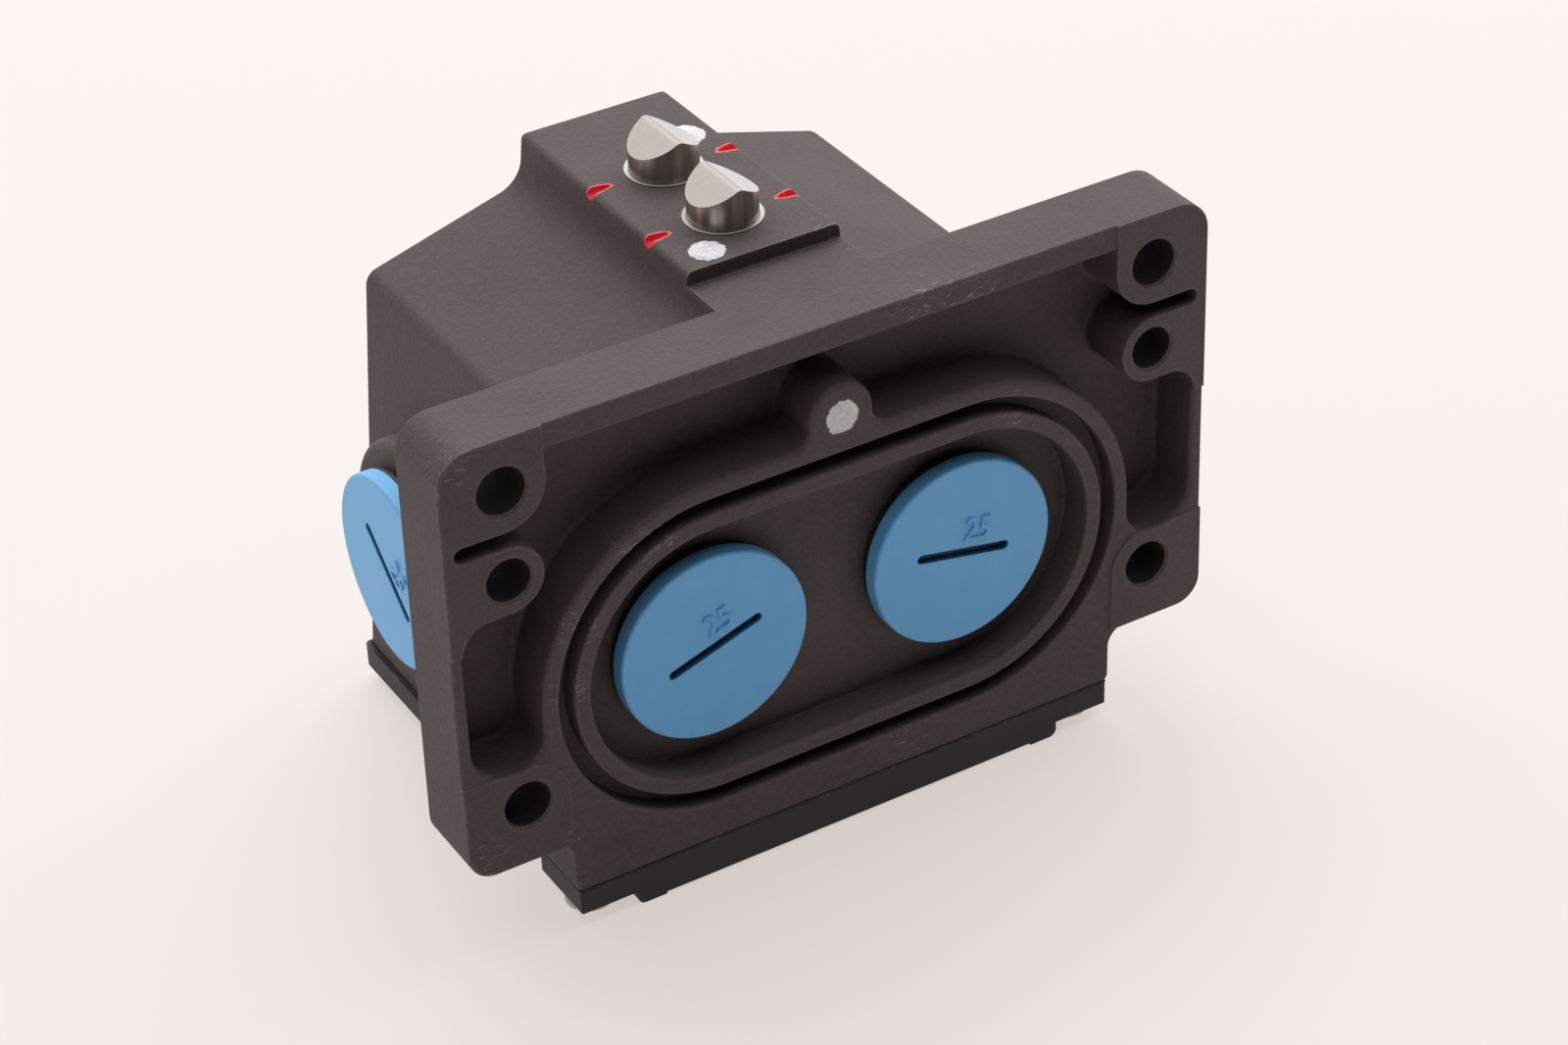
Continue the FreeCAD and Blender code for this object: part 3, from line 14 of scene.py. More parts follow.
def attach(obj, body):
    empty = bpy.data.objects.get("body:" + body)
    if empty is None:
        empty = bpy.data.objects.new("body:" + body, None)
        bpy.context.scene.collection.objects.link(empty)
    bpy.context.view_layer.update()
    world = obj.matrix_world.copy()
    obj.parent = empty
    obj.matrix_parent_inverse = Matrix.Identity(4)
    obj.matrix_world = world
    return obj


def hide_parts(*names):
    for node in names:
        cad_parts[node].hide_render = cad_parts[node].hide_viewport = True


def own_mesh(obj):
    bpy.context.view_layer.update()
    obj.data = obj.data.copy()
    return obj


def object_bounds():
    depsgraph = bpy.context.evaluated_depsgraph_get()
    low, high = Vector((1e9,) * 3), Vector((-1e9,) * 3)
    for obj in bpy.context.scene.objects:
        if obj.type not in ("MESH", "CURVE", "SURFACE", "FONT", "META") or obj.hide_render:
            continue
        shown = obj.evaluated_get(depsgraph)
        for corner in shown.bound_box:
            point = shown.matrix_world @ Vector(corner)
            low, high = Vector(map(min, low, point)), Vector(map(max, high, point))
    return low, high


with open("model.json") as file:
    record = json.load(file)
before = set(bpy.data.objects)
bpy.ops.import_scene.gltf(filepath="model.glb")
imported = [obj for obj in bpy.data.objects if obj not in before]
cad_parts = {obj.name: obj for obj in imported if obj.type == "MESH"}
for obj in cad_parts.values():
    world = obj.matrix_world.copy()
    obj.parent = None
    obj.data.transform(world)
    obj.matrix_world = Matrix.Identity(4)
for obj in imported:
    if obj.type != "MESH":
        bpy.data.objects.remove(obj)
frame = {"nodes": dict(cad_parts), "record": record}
cad_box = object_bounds()
nodes = frame["nodes"]
MM = 0.001

# %% [markdown]
# The camera stands in front of the flange, to its left and well above it, with a long lens and a slight roll,
# as in the photograph. A look-at target is easier to adjust than three angles, so the camera is aimed at a
# point and then rolled about its own axis.

# %% Place the camera
CAMERA_PLACE = Vector((-220.8, -363.7, 289.0)) * MM
CAMERA_AIM = Vector((-9.7, 0.0, 5.0)) * MM
CAMERA_ROLL = math.radians(-2.18)
LENS_MM = 87.5
SENSOR_MM = 36.0
NEAREST_SEEN = 0.01

lens = bpy.data.cameras.new("portrait_lens")
lens.lens = LENS_MM
lens.sensor_width = SENSOR_MM
lens.clip_start = NEAREST_SEEN
camera = bpy.data.objects.new("portrait_camera", lens)
bpy.context.scene.collection.objects.link(camera)
gaze = (CAMERA_AIM - CAMERA_PLACE).to_track_quat("-Z", "Y").to_matrix().to_4x4()
roll = Matrix.Rotation(CAMERA_ROLL, 4, "Z")
camera.matrix_world = Matrix.Translation(CAMERA_PLACE) @ gaze @ roll
bpy.context.scene.camera = camera
bpy.context.scene.view_settings.view_transform = "Standard"
print("camera is", round((CAMERA_AIM - CAMERA_PLACE).length, 3), "m from the flange")

# %% [markdown]
# A node graph is easier to read when each node is one line. add() makes a node and sets its properties. feed()
# fills its inputs: a number or a colour is set, and a socket is joined. The other helpers are the nodes that
# come up most often.

# %% Helpers for node graphs
def add(tree, kind, **settings):
    """Adds a node and sets the properties that are named."""
    node = tree.nodes.new(kind)
    for name, value in settings.items():
        setattr(node, name, value)
    return node


def feed(tree, node, **inputs):
    """Fills a node's inputs by name, with underscores for spaces; in_0 and so on pick one by its place."""
    for name, value in inputs.items():
        place = int(name[3:]) if name.startswith("in_") else name.replace("_", " ")
        socket = node.inputs[place]
        if isinstance(value, bpy.types.NodeSocket):
            tree.links.new(value, socket)
        else:
            socket.default_value = value
    return node


def maths(tree, operation, first, second=None, third=None):
    """One step of arithmetic."""
    node = add(tree, "ShaderNodeMath", operation=operation)
    for place, value in enumerate((first, second, third)):
        if value is not None:
            feed(tree, node, **{"in_%d" % place: value})
    return node.outputs[0]


def largest(tree, masks):
    """The largest of several masks, point by point."""
    most = masks[0]
    for mask in masks[1:]:
        most = maths(tree, "MAXIMUM", most, mask)
    return most


def spread(tree, value, low, high, to_low=0.0, to_high=1.0):
    """Maps a value from one span to another, and clamps it."""
    node = add(tree, "ShaderNodeMapRange", clamp=True)
    feed(tree, node, Value=value, From_Min=low, From_Max=high, To_Min=to_low, To_Max=to_high)
    return node.outputs["Result"]


def noise(tree, place, scale, detail=3.0, roughness=0.55):
    """A cloudy pattern. The scale counts its clouds to the metre."""
    node = add(tree, "ShaderNodeTexNoise")
    feed(tree, node, Vector=place, Scale=scale, Detail=detail, Roughness=roughness)
    return node.outputs[0]


def blend(tree, share, first, second):
    """Mixes two colours by a share. Inputs 6 and 7 are the node's two colours."""
    node = add(tree, "ShaderNodeMix", data_type="RGBA")
    feed(tree, node, in_0=share, in_6=first, in_7=second)
    return node.outputs[2]


# %% [markdown]
# Three effects show on more than one finish: a fine grain, worn edges and a soft mottling. Scratches show on
# the casting. Each is a node group with named sockets, built once, so that a finish places it and sets its own
# amount. The grain of cast and moulded surfaces comes first: two noises are added up for a bump's height.

# %% Group for the grain
def new_group(name, inputs, outputs):
    """Starts a node group with sockets of the kinds given."""
    group = bpy.data.node_groups.new(name, "ShaderNodeTree")
    for label, kind, start in inputs:
        socket = group.interface.new_socket(name=label, in_out="INPUT", socket_type=kind)
        if start is not None:
            socket.default_value = start
    for label, kind in outputs:
        group.interface.new_socket(name=label, in_out="OUTPUT", socket_type=kind)
    return group, add(group, "NodeGroupInput"), add(group, "NodeGroupOutput")


MM_TO_THE_METRE = 1000.0
COARSE_SHARE = 0.3
COARSE_WEIGHT = 0.5


def make_grain():
    """Fine and coarse noise added up, for the height of a bump. The size is in millimetres."""
    group, given, result = new_group(
        "fine_grain",
        [("Place", "NodeSocketVector", None), ("Grain Size", "NodeSocketFloat", 0.4)],
        [("Height", "NodeSocketFloat")],
    )
    fine = maths(group, "DIVIDE", MM_TO_THE_METRE, given.outputs["Grain Size"])
    coarse = maths(group, "MULTIPLY", fine, COARSE_SHARE)
    small = noise(group, given.outputs["Place"], fine, 2.0)
    large = noise(group, given.outputs["Place"], coarse, 2.0)
    feed(group, result, Height=maths(group, "MULTIPLY_ADD", large, COARSE_WEIGHT, small))
    return group


GRAIN = make_grain()
print(GRAIN.name, "has", len(GRAIN.nodes), "nodes")

# %% [markdown]
# Paint wears first where it is thinnest, on the edges. A Bevel node gives the normal that the surface would
# have if its edges were rounded. It differs from the true normal only beside an edge, which makes a mask of
# the edges. A noise then breaks the mask up, because wear is never even.

# %% Group for worn edges
EDGE_STARTS, EDGE_FULL = 0.997, 0.93
SCUFFS_TO_THE_METRE = 420.0
SCUFF_SOFTNESS = 0.14


def make_wear():
    """Two masks: the edges themselves, and the scuffs that a noise leaves on them."""
    group, given, result = new_group(
        "edge_wear",
        [("Place", "NodeSocketVector", None), ("Width", "NodeSocketFloat", 0.0006),
         ("Amount", "NodeSocketFloat", 0.5)],
        [("Mask", "NodeSocketFloat"), ("Edge", "NodeSocketFloat")],
    )
    rounded = add(group, "ShaderNodeBevel", samples=6)
    feed(group, rounded, Radius=given.outputs["Width"])
    true = add(group, "ShaderNodeNewGeometry")
    agree = add(group, "ShaderNodeVectorMath", operation="DOT_PRODUCT")
    feed(group, agree, in_0=rounded.outputs[0], in_1=true.outputs["Normal"])
    edge = spread(group, agree.outputs["Value"], EDGE_STARTS, EDGE_FULL)
    broken = noise(group, given.outputs["Place"], SCUFFS_TO_THE_METRE, 6.0, 0.7)
    limit = maths(group, "SUBTRACT", 1.0, given.outputs["Amount"])
    scuffed = spread(group, broken, limit, maths(group, "ADD", limit, SCUFF_SOFTNESS))
    feed(group, result, Mask=maths(group, "MULTIPLY", edge, scuffed), Edge=edge)
    return group


WEAR = make_wear()
print(WEAR.name, "has", len(WEAR.nodes), "nodes")

# %% [markdown]
# Scratches run mostly one way, and none is quite straight. A noise that is squeezed across and drawn out along
# one direction gives thin lines. Its coordinates are first pushed about by a slower noise, which bends them,
# and only the crests of the result are kept.

# %% Group for scratches
STREAK_STRETCH = (420.0, 2600.0, 3600.0)
STREAK_BEND = (0.0, 0.004, 0.004)
BENDS_TO_THE_METRE = 130.0
STREAK_SOFTNESS = 0.06


def make_streaks():
    """A mask of thin bent scratches."""
    group, given, result = new_group(
        "streaks",
        [("Place", "NodeSocketVector", None), ("Stretch", "NodeSocketVector", STREAK_STRETCH),
         ("Amount", "NodeSocketFloat", 0.3)],
        [("Mask", "NodeSocketFloat")],
    )
    cloud = add(group, "ShaderNodeTexNoise")
    feed(group, cloud, Vector=given.outputs["Place"], Scale=BENDS_TO_THE_METRE)
    bent = add(group, "ShaderNodeVectorMath", operation="MULTIPLY_ADD")
    feed(group, bent, in_0=cloud.outputs["Color"], in_1=STREAK_BEND, in_2=given.outputs["Place"])
    drawn = add(group, "ShaderNodeVectorMath", operation="MULTIPLY")
    feed(group, drawn, in_0=bent.outputs[0], in_1=given.outputs["Stretch"])
    crests = noise(group, drawn.outputs[0], 1.0, 4.0, 0.65)
    limit = maths(group, "SUBTRACT", 1.0, given.outputs["Amount"])
    soft_limit = maths(group, "ADD", limit, STREAK_SOFTNESS)
    feed(group, result, Mask=spread(group, crests, limit, soft_limit))
    return group


STREAKS = make_streaks()
print(STREAKS.name, "has", len(STREAKS.nodes), "nodes")

# %% [markdown]
# No real surface has one even tone. The mottle is a slow drift between 0 and 1, over patches of a few
# millimetres, and each finish uses it to move its colour and its gloss a little.

# %% Group for the mottle
MOTTLE_LOW, MOTTLE_HIGH = 0.3, 0.7


def make_mottle():
    """A slow change of tone. The patch size is in millimetres."""
    group, given, result = new_group(
        "mottle",
        [("Place", "NodeSocketVector", None), ("Patch Size", "NodeSocketFloat", 8.0)],
        [("Tone", "NodeSocketFloat")],
    )
    scale = maths(group, "DIVIDE", MM_TO_THE_METRE, given.outputs["Patch Size"])
    cloud = noise(group, given.outputs["Place"], scale, 5.0, 0.6)
    feed(group, result, Tone=spread(group, cloud, MOTTLE_LOW, MOTTLE_HIGH))
    return group


MOTTLE = make_mottle()
print(MOTTLE.name, "has", len(MOTTLE.nodes), "nodes")

# %% [markdown]
# Every finish starts in the same way: a Principled shader, and the object's own coordinates for its patterns.
# Those stay with a piece when it moves, where the scene's coordinates would slide over it.

# %% Helpers for finishes
FINISHES = {}


def use(tree, group, **inputs):
    """Places a group in a material and fills its inputs."""
    node = add(tree, "ShaderNodeGroup")
    node.node_tree = group
    return feed(tree, node, **inputs)


def start_material(name, roughness=0.5, metallic=0.0):
    """A new material with its Principled shader, and the object's own coordinates."""
    material = bpy.data.materials.new(name)
    material.use_nodes = True
    tree = material.node_tree
    shader = tree.nodes["Principled BSDF"]
    shader.inputs["Roughness"].default_value = roughness
    shader.inputs["Metallic"].default_value = metallic
    place = add(tree, "ShaderNodeTexCoord").outputs["Object"]
    return material, tree, shader, place


def bump(tree, shader, height, depth):
    """Raises the surface by a height pattern, to a depth in metres."""
    node = add(tree, "ShaderNodeBump")
    feed(tree, node, Height=height, Distance=depth, Strength=1.0)
    feed(tree, shader, Normal=node.outputs[0])


def keep_finish(slot, material):
    """Files a finished material under the record's word for it. Blender may have numbered its name."""
    FINISHES[slot] = material
    print(slot, "has", len(material.node_tree.nodes), "nodes")


# %% [markdown]
# Four rounded notches are cut into the upper edges of the guide block, one pair beside each plunger, and
# filled with red paint. The solids have the notches. The red follows them because it is found by where a point
# lies: how far it is from the block's side, from a plunger's middle and from the block's top, each by its own
# reach. A noise makes the paint run over a little, as a brush does.

# %% Mask of the red marks
BLOCK_TOP = 34.8 * MM
BLOCK_HALF = 11.8 * MM
PLUNGER_DEPTHS = (30.0 * MM, 46.0 * MM)
MARK_REACH = (3.6 * MM, 1.22 * MM, 1.4 * MM)
MARK_RAGGED = -0.8
MARK_OUTSIDE, MARK_INSIDE = 0.62, 0.56
FINE_SPOTS = 1500.0


def notch_mask(tree, place):
    """1 on the notches at both edges of the guide block, with a ragged overrun."""
    parts = add(tree, "ShaderNodeSeparateXYZ")
    feed(tree, parts, Vector=place)
    x, y, z = parts.outputs
    offsets = [maths(tree, "ABSOLUTE", maths(tree, "SUBTRACT", y, depth)) for depth in PLUNGER_DEPTHS]
    spans = (
        maths(tree, "SUBTRACT", maths(tree, "ABSOLUTE", x), BLOCK_HALF),
        maths(tree, "MINIMUM", *offsets),
        maths(tree, "SUBTRACT", z, BLOCK_TOP),
    )
    total = maths(tree, "MULTIPLY", noise(tree, place, FINE_SPOTS, 3.0), MARK_RAGGED)
    for span, reach in zip(spans, MARK_REACH):
        share = maths(tree, "DIVIDE", span, reach)
        total = maths(tree, "MULTIPLY_ADD", share, share, total)
    return spread(tree, total, MARK_OUTSIDE, MARK_INSIDE)


print("red marks:", 2 * len(PLUNGER_DEPTHS))

# %% [markdown]
# Hands, benches and gaskets rub a casting in places, and leave the rest alone. Each rubbed place is a soft
# ball: its centre and radius in millimetres, and how strongly it is rubbed.

# %% Mask of the rubbed places
RUBBED = (
    ((-58, 1, -33), 6, 0.7), ((-58, 1, 31), 6, 0.6), ((11, 20, 35), 4, 1.0), ((15, 21, 27), 3, 0.7),
    ((-32, 0, 9), 5, 0.8), ((-27, 0, 9), 4, 1.0), ((-41, 0, 0), 4, 1.0), ((-43, 0, -9), 4, 0.9),
    ((14, 0, 30), 7, 0.8), ((22, 0, 30), 5, 0.9), ((28, 0, 9), 4, 1.0), ((-44, 0, -33), 3, 0.6),
    ((8, 0, -38), 7, 0.35), ((-44, 1, -42), 3, 0.5),
)


def rubbed_mask(tree, place):
    """How much a place has been rubbed, between 0 and 1."""
    shares = []
    for centre, radius, strength in RUBBED:
        apart = add(tree, "ShaderNodeVectorMath", operation="DISTANCE")
        feed(tree, apart, in_0=place, in_1=Vector(centre) * MM)
        shares.append(spread(tree, apart.outputs["Value"], radius * MM, 0.0, 0.0, strength))
    return largest(tree, shares)


print("rubbed places:", len(RUBBED))

# %% [markdown]
# The insides of the bolt holes are painted dark, as painted shade, and made fully rough. The left half of the
# flange mirrors the right, so the mask folds the one onto the other with an absolute value and needs only
# three holes. It starts half a millimetre in, so that the rims keep their paint.

# %% Mask of the painted shade in the bolt holes
HOLES = ((50.5, 25.0), (50.5, 11.3), (50.5, -25.0))
HOLE_REACH = 3.6 * MM
RIM_DEPTH = 0.5 * MM


def hole_shade_mask(tree, place):
    """1 inside the bolt holes, where shade is painted."""
    folded = add(tree, "ShaderNodeVectorMath", operation="ABSOLUTE")
    feed(tree, folded, in_0=place)
    parts = add(tree, "ShaderNodeSeparateXYZ")
    feed(tree, parts, Vector=place)
    sides = add(tree, "ShaderNodeSeparateXYZ")
    feed(tree, sides, Vector=folded.outputs[0])
    insides = []
    for across, level in HOLES:
        centre = add(tree, "ShaderNodeCombineXYZ")
        feed(tree, centre, X=maths(tree, "SUBTRACT", sides.outputs[0], across * MM),
             Z=maths(tree, "SUBTRACT", parts.outputs[2], level * MM))
        away = add(tree, "ShaderNodeVectorMath", operation="LENGTH")
        feed(tree, away, in_0=centre.outputs[0])
        insides.append(maths(tree, "LESS_THAN", away.outputs["Value"], HOLE_REACH))
    behind = maths(tree, "GREATER_THAN", parts.outputs[1], RIM_DEPTH)
    return maths(tree, "MULTIPLY", largest(tree, insides), behind)


print("holes:", 2 * len(HOLES))

# %% [markdown]
# The casting is painted a warm dark grey, and the paint has a fine sandy texture. It is rubbed lighter along
# the edges of the flange and of the sealing lands, and scratched where it is rubbed. The layers go on in this
# order: paint, wear, the painted shade inside the bolt holes, red marks.

# %% Paint of the casting
PAINT_DARK = (0.0790, 0.0590, 0.0570, 1.0)
PAINT_LIGHT = (0.0960, 0.0715, 0.0690, 1.0)
PAINT_SPECKLE = (0.150, 0.120, 0.120, 1.0)
PAINT_THINNED = (0.21, 0.175, 0.165, 1.0)
SCUFFED_METAL = (0.50, 0.44, 0.41, 1.0)
HOLE_SHADE = (0.012, 0.010, 0.010, 1.0)
MARK_RED = (0.78, 0.040, 0.055, 1.0)
PAINT_ROUGHNESS, MARK_ROUGHNESS = 0.66, 0.25


def sandy_paint(tree, place):
    """The colour of the new paint, with its pale speckle."""
    tone = use(tree, MOTTLE, Place=place, Patch_Size=16.0).outputs["Tone"]
    speckle = spread(tree, noise(tree, place, FINE_SPOTS, 2.0), 0.40, 0.72)
    paint = blend(tree, tone, PAINT_DARK, PAINT_LIGHT)
    return blend(tree, maths(tree, "MULTIPLY", speckle, 0.34), paint, PAINT_SPECKLE)


def worn_paint(tree, place, paint, rubbed):
    """Thins the paint on every edge, and scuffs and scratches it where it is rubbed."""
    amount = maths(tree, "MULTIPLY_ADD", rubbed, 0.18, 0.42)
    wear = use(tree, WEAR, Place=place, Width=0.0007, Amount=amount)
    paint = blend(tree, maths(tree, "MULTIPLY", wear.outputs["Edge"], 0.35), paint, PAINT_THINNED)
    scratched = use(tree, STREAKS, Place=place, Amount=0.42).outputs["Mask"]
    scratched = maths(tree, "MULTIPLY", scratched, rubbed)
    scuffed = maths(tree, "MULTIPLY", wear.outputs["Mask"], 0.6)
    return blend(tree, maths(tree, "MAXIMUM", scuffed, scratched), paint, SCUFFED_METAL)


def casting_finish():
    """Textured paint with rubbed edges, scratches and the red marks."""
    material, tree, shader, place = start_material("casting_paint", PAINT_ROUGHNESS)
    shader.inputs["Specular IOR Level"].default_value = 0.35
    paint = worn_paint(tree, place, sandy_paint(tree, place), rubbed_mask(tree, place))
    # The insides of the bolt holes are darkened here as painted shade.
    hole_shade = hole_shade_mask(tree, place)
    paint = blend(tree, maths(tree, "MULTIPLY", hole_shade, 0.9), paint, HOLE_SHADE)
    red = notch_mask(tree, place)
    feed(tree, shader, Base_Color=blend(tree, red, paint, MARK_RED))
    gloss = spread(tree, red, 0.0, 1.0, PAINT_ROUGHNESS, MARK_ROUGHNESS)
    feed(tree, shader, Roughness=maths(tree, "MAXIMUM", gloss, hole_shade))
    bump(tree, shader, use(tree, GRAIN, Place=place, Grain_Size=0.45).outputs["Height"], 0.00009)
    return material


keep_finish("casting_paint", casting_finish())

# %% [markdown]
# The base cover is a smoother and blacker piece than the casting. Its lower front edge has been knocked on
# benches, so small bright chips show there.

# %% Paint of the base cover
COVER_DARK = (0.022, 0.017, 0.021, 1.0)
COVER_LIGHT = (0.032, 0.025, 0.030, 1.0)
COVER_CHIP = (0.42, 0.40, 0.38, 1.0)


def cover_finish():
    """Smooth black paint, chipped along its edges."""
    material, tree, shader, place = start_material("cover_paint")
    shader.inputs["Specular IOR Level"].default_value = 0.3
    tone = use(tree, MOTTLE, Place=place, Patch_Size=10.0).outputs["Tone"]
    paint = blend(tree, tone, COVER_DARK, COVER_LIGHT)
    worn = use(tree, WEAR, Place=place, Width=0.0004, Amount=0.44).outputs["Mask"]
    feed(tree, shader, Base_Color=blend(tree, worn, paint, COVER_CHIP))
    feed(tree, shader, Roughness=spread(tree, tone, 0.0, 1.0, 0.44, 0.58))
    bump(tree, shader, use(tree, GRAIN, Place=place, Grain_Size=0.5).outputs["Height"], 0.00002)
    return material


keep_finish("cover_paint", cover_finish())

# %% [markdown]
# The plungers are turned and hardened, and each end is ground to a roof. Grinding leaves fine lines across the
# two slopes, so they are rougher than the stem. A slope faces upward, so the surface's own normal tells it
# from the stem. The right-hand slopes face to the right and are painted brighter, a painted sheen of the light
# on that side.

# %% Steel of the plungers
GROUND_DARK = (0.33, 0.29, 0.27, 1.0)
GROUND_LIGHT = (0.48, 0.43, 0.405, 1.0)
RIGHT_SLOPE_SHEEN = (0.60, 0.575, 0.585, 1.0)
STEM_DARK = (0.33, 0.295, 0.27, 1.0)
STEM_LIGHT = (0.50, 0.455, 0.42, 1.0)
GRINDING_STRETCH = (400.0, 9000.0, 400.0)
DRAG_STRETCH = (900.0, 900.0, 60.0)


def stretched_noise(tree, place, stretch):
    """A noise drawn out into lines: the larger the stretch, the finer the pattern in that direction."""
    lines = add(tree, "ShaderNodeMapping")
    feed(tree, lines, Vector=place, Scale=stretch)
    return noise(tree, lines.outputs[0], 1.0, 3.0)


def plunger_finish():
    """A stem drawn smooth, and satin ground slopes."""
    material, tree, shader, place = start_material("ground_steel", 0.25, 1.0)
    facing = add(tree, "ShaderNodeSeparateXYZ")
    feed(tree, facing, Vector=add(tree, "ShaderNodeNewGeometry").outputs["Normal"])
    slope = spread(tree, facing.outputs[2], 0.35, 0.6)
    scratch = stretched_noise(tree, place, GRINDING_STRETCH)
    ground = blend(tree, scratch, GROUND_DARK, GROUND_LIGHT)
    # Slopes that face to the right take a painted sheen of the light on that side.
    ground = blend(tree, spread(tree, facing.outputs[0], 0.3, 0.5), ground, RIGHT_SLOPE_SHEEN)
    drag = spread(tree, stretched_noise(tree, place, DRAG_STRETCH), 0.35, 0.65)
    stem = blend(tree, drag, STEM_DARK, STEM_LIGHT)
    feed(tree, shader, Base_Color=blend(tree, slope, stem, ground))
    feed(tree, shader, Roughness=spread(tree, slope, 0.0, 1.0, 0.33, 0.52))
    bump(tree, shader, maths(tree, "MULTIPLY", scratch, maths(tree, "ADD", slope, 0.15)), 0.000012)
    return material


keep_finish("ground_steel", plunger_finish())

# %% [markdown]
# The blanking plugs are moulded in one blue plastic, matt and slightly cloudy, with a pale bloom of handling.
# Their slots are painted dark, as painted shade. A slot is found as what lies behind a plug's face and near
# its axis. The middle of each face, and the direction into the plug, are kept here, because the numbers use
# them too.

# %% Mask of the painted shade in the plugs' slots
PLUG_FACES = {
    "left": (Vector((-20.0, 1.8, -12.3)) * MM, Vector((0, 1, 0))),
    "right": (Vector((20.0, 1.8, -12.3)) * MM, Vector((0, 1, 0))),
    "side": (Vector((-49.4, 42.0, -12.0)) * MM, Vector((1, 0, 0))),
}
SLOT_REACH = 8.2 * MM
SLOT_SHADE_STARTS, SLOT_SHADE_FULL = 0.05 * MM, 0.3 * MM


def slot_shade_mask(tree, place):
    """1 inside the slots, where shade is painted: behind a plug's face and near its axis."""
    shares = []
    for face, inward in PLUG_FACES.values():
        across = add(tree, "ShaderNodeVectorMath", operation="SUBTRACT")
        feed(tree, across, in_0=place, in_1=face)
        depth = add(tree, "ShaderNodeVectorMath", operation="DOT_PRODUCT")
        feed(tree, depth, in_0=across.outputs[0], in_1=inward)
        away = add(tree, "ShaderNodeVectorMath", operation="LENGTH")
        feed(tree, away, in_0=across.outputs[0])
        sunk = spread(tree, depth.outputs["Value"], SLOT_SHADE_STARTS, SLOT_SHADE_FULL)
        inside = maths(tree, "LESS_THAN", away.outputs["Value"], SLOT_REACH)
        shares.append(maths(tree, "MULTIPLY", sunk, inside))
    return largest(tree, shares)


print("slots:", len(PLUG_FACES))

# %% Plastic of the blanking plugs
PLUG_DARK = (0.160, 0.515, 0.93, 1.0)
PLUG_LIGHT = (0.182, 0.555, 0.98, 1.0)
PLUG_BLOOM = (0.30, 0.50, 0.72, 1.0)
SLOT_SHADE = (0.01, 0.05, 0.12, 1.0)


def plug_finish():
    """Matt blue plastic with a faint pale bloom and painted shade in its slot."""
    material, tree, shader, place = start_material("plug_plastic", 0.42)
    tone = use(tree, MOTTLE, Place=place, Patch_Size=5.0).outputs["Tone"]
    plastic = blend(tree, tone, PLUG_DARK, PLUG_LIGHT)
    bloom = spread(tree, noise(tree, place, 700.0, 5.0, 0.7), 0.56, 0.8)
    plastic = blend(tree, maths(tree, "MULTIPLY", bloom, 0.2), plastic, PLUG_BLOOM)
    # The slots are darkened here as painted shade.
    slot_shade_share = maths(tree, "MULTIPLY", slot_shade_mask(tree, place), 0.84)
    feed(tree, shader, Base_Color=blend(tree, slot_shade_share, plastic, SLOT_SHADE))
    feed(tree, shader, Roughness=spread(tree, tone, 0.0, 1.0, 0.36, 0.5))
    bump(tree, shader, use(tree, GRAIN, Place=place, Grain_Size=0.3).outputs["Height"], 0.000012)
    return material


keep_finish("plug_plastic", plug_finish())

# %% [markdown]
# The sealing lacquer is dabbed on thick and dries white and chalky, with pits and a cracked skin. One noise
# gives both the darker pits and the bump, so that a pit is dark where it is deep.

# %% Sealing lacquer
LACQUER_PIT = (0.70, 0.68, 0.71, 1.0)
LACQUER_SKIN = (0.85, 0.83, 0.86, 1.0)


def lacquer_finish():
    """Chalky white lacquer with pits."""
    material, tree, shader, place = start_material("lacquer", 0.6)
    pits = spread(tree, noise(tree, place, 1700.0, 3.0, 0.6), 0.32, 0.50)
    feed(tree, shader, Base_Color=blend(tree, pits, LACQUER_PIT, LACQUER_SKIN))
    bump(tree, shader, pits, 0.00005)
    return material


keep_finish("lacquer", lacquer_finish())

# %% [markdown]
# The pieces inside, the screws and the seals need only a plain finish: two tones, a roughness, and whether
# they are metal. One function makes them all from a table. Each row holds the name, the dark tone, the light
# tone, the roughness, the metallic share and the size of the patches in millimetres.

# %% Plain finishes
ROUGHNESS_SWING = 0.08
PLAIN_FINISHES = (
    ("bright_steel", (0.34, 0.32, 0.30), (0.46, 0.43, 0.40), 0.4, 1.0, 6.0),
    ("zinc_steel", (0.36, 0.37, 0.38), (0.50, 0.50, 0.50), 0.36, 1.0, 3.0),
    ("spring_steel", (0.34, 0.33, 0.32), (0.46, 0.45, 0.43), 0.3, 1.0, 6.0),
    ("seal_rubber", (0.014, 0.014, 0.015), (0.026, 0.026, 0.027), 0.6, 0.0, 6.0),
    ("gasket_rubber", (0.012, 0.012, 0.012), (0.022, 0.022, 0.022), 0.7, 0.0, 6.0),
    ("carrier_plastic", (0.50, 0.46, 0.38), (0.60, 0.56, 0.47), 0.5, 0.0, 6.0),
    ("case_plastic", (0.030, 0.022, 0.018), (0.048, 0.036, 0.030), 0.4, 0.0, 6.0),
    ("button_plastic", (0.50, 0.03, 0.025), (0.60, 0.05, 0.035), 0.35, 0.0, 6.0),
    ("terminal_brass", (0.60, 0.42, 0.18), (0.74, 0.55, 0.27), 0.32, 1.0, 6.0),
)


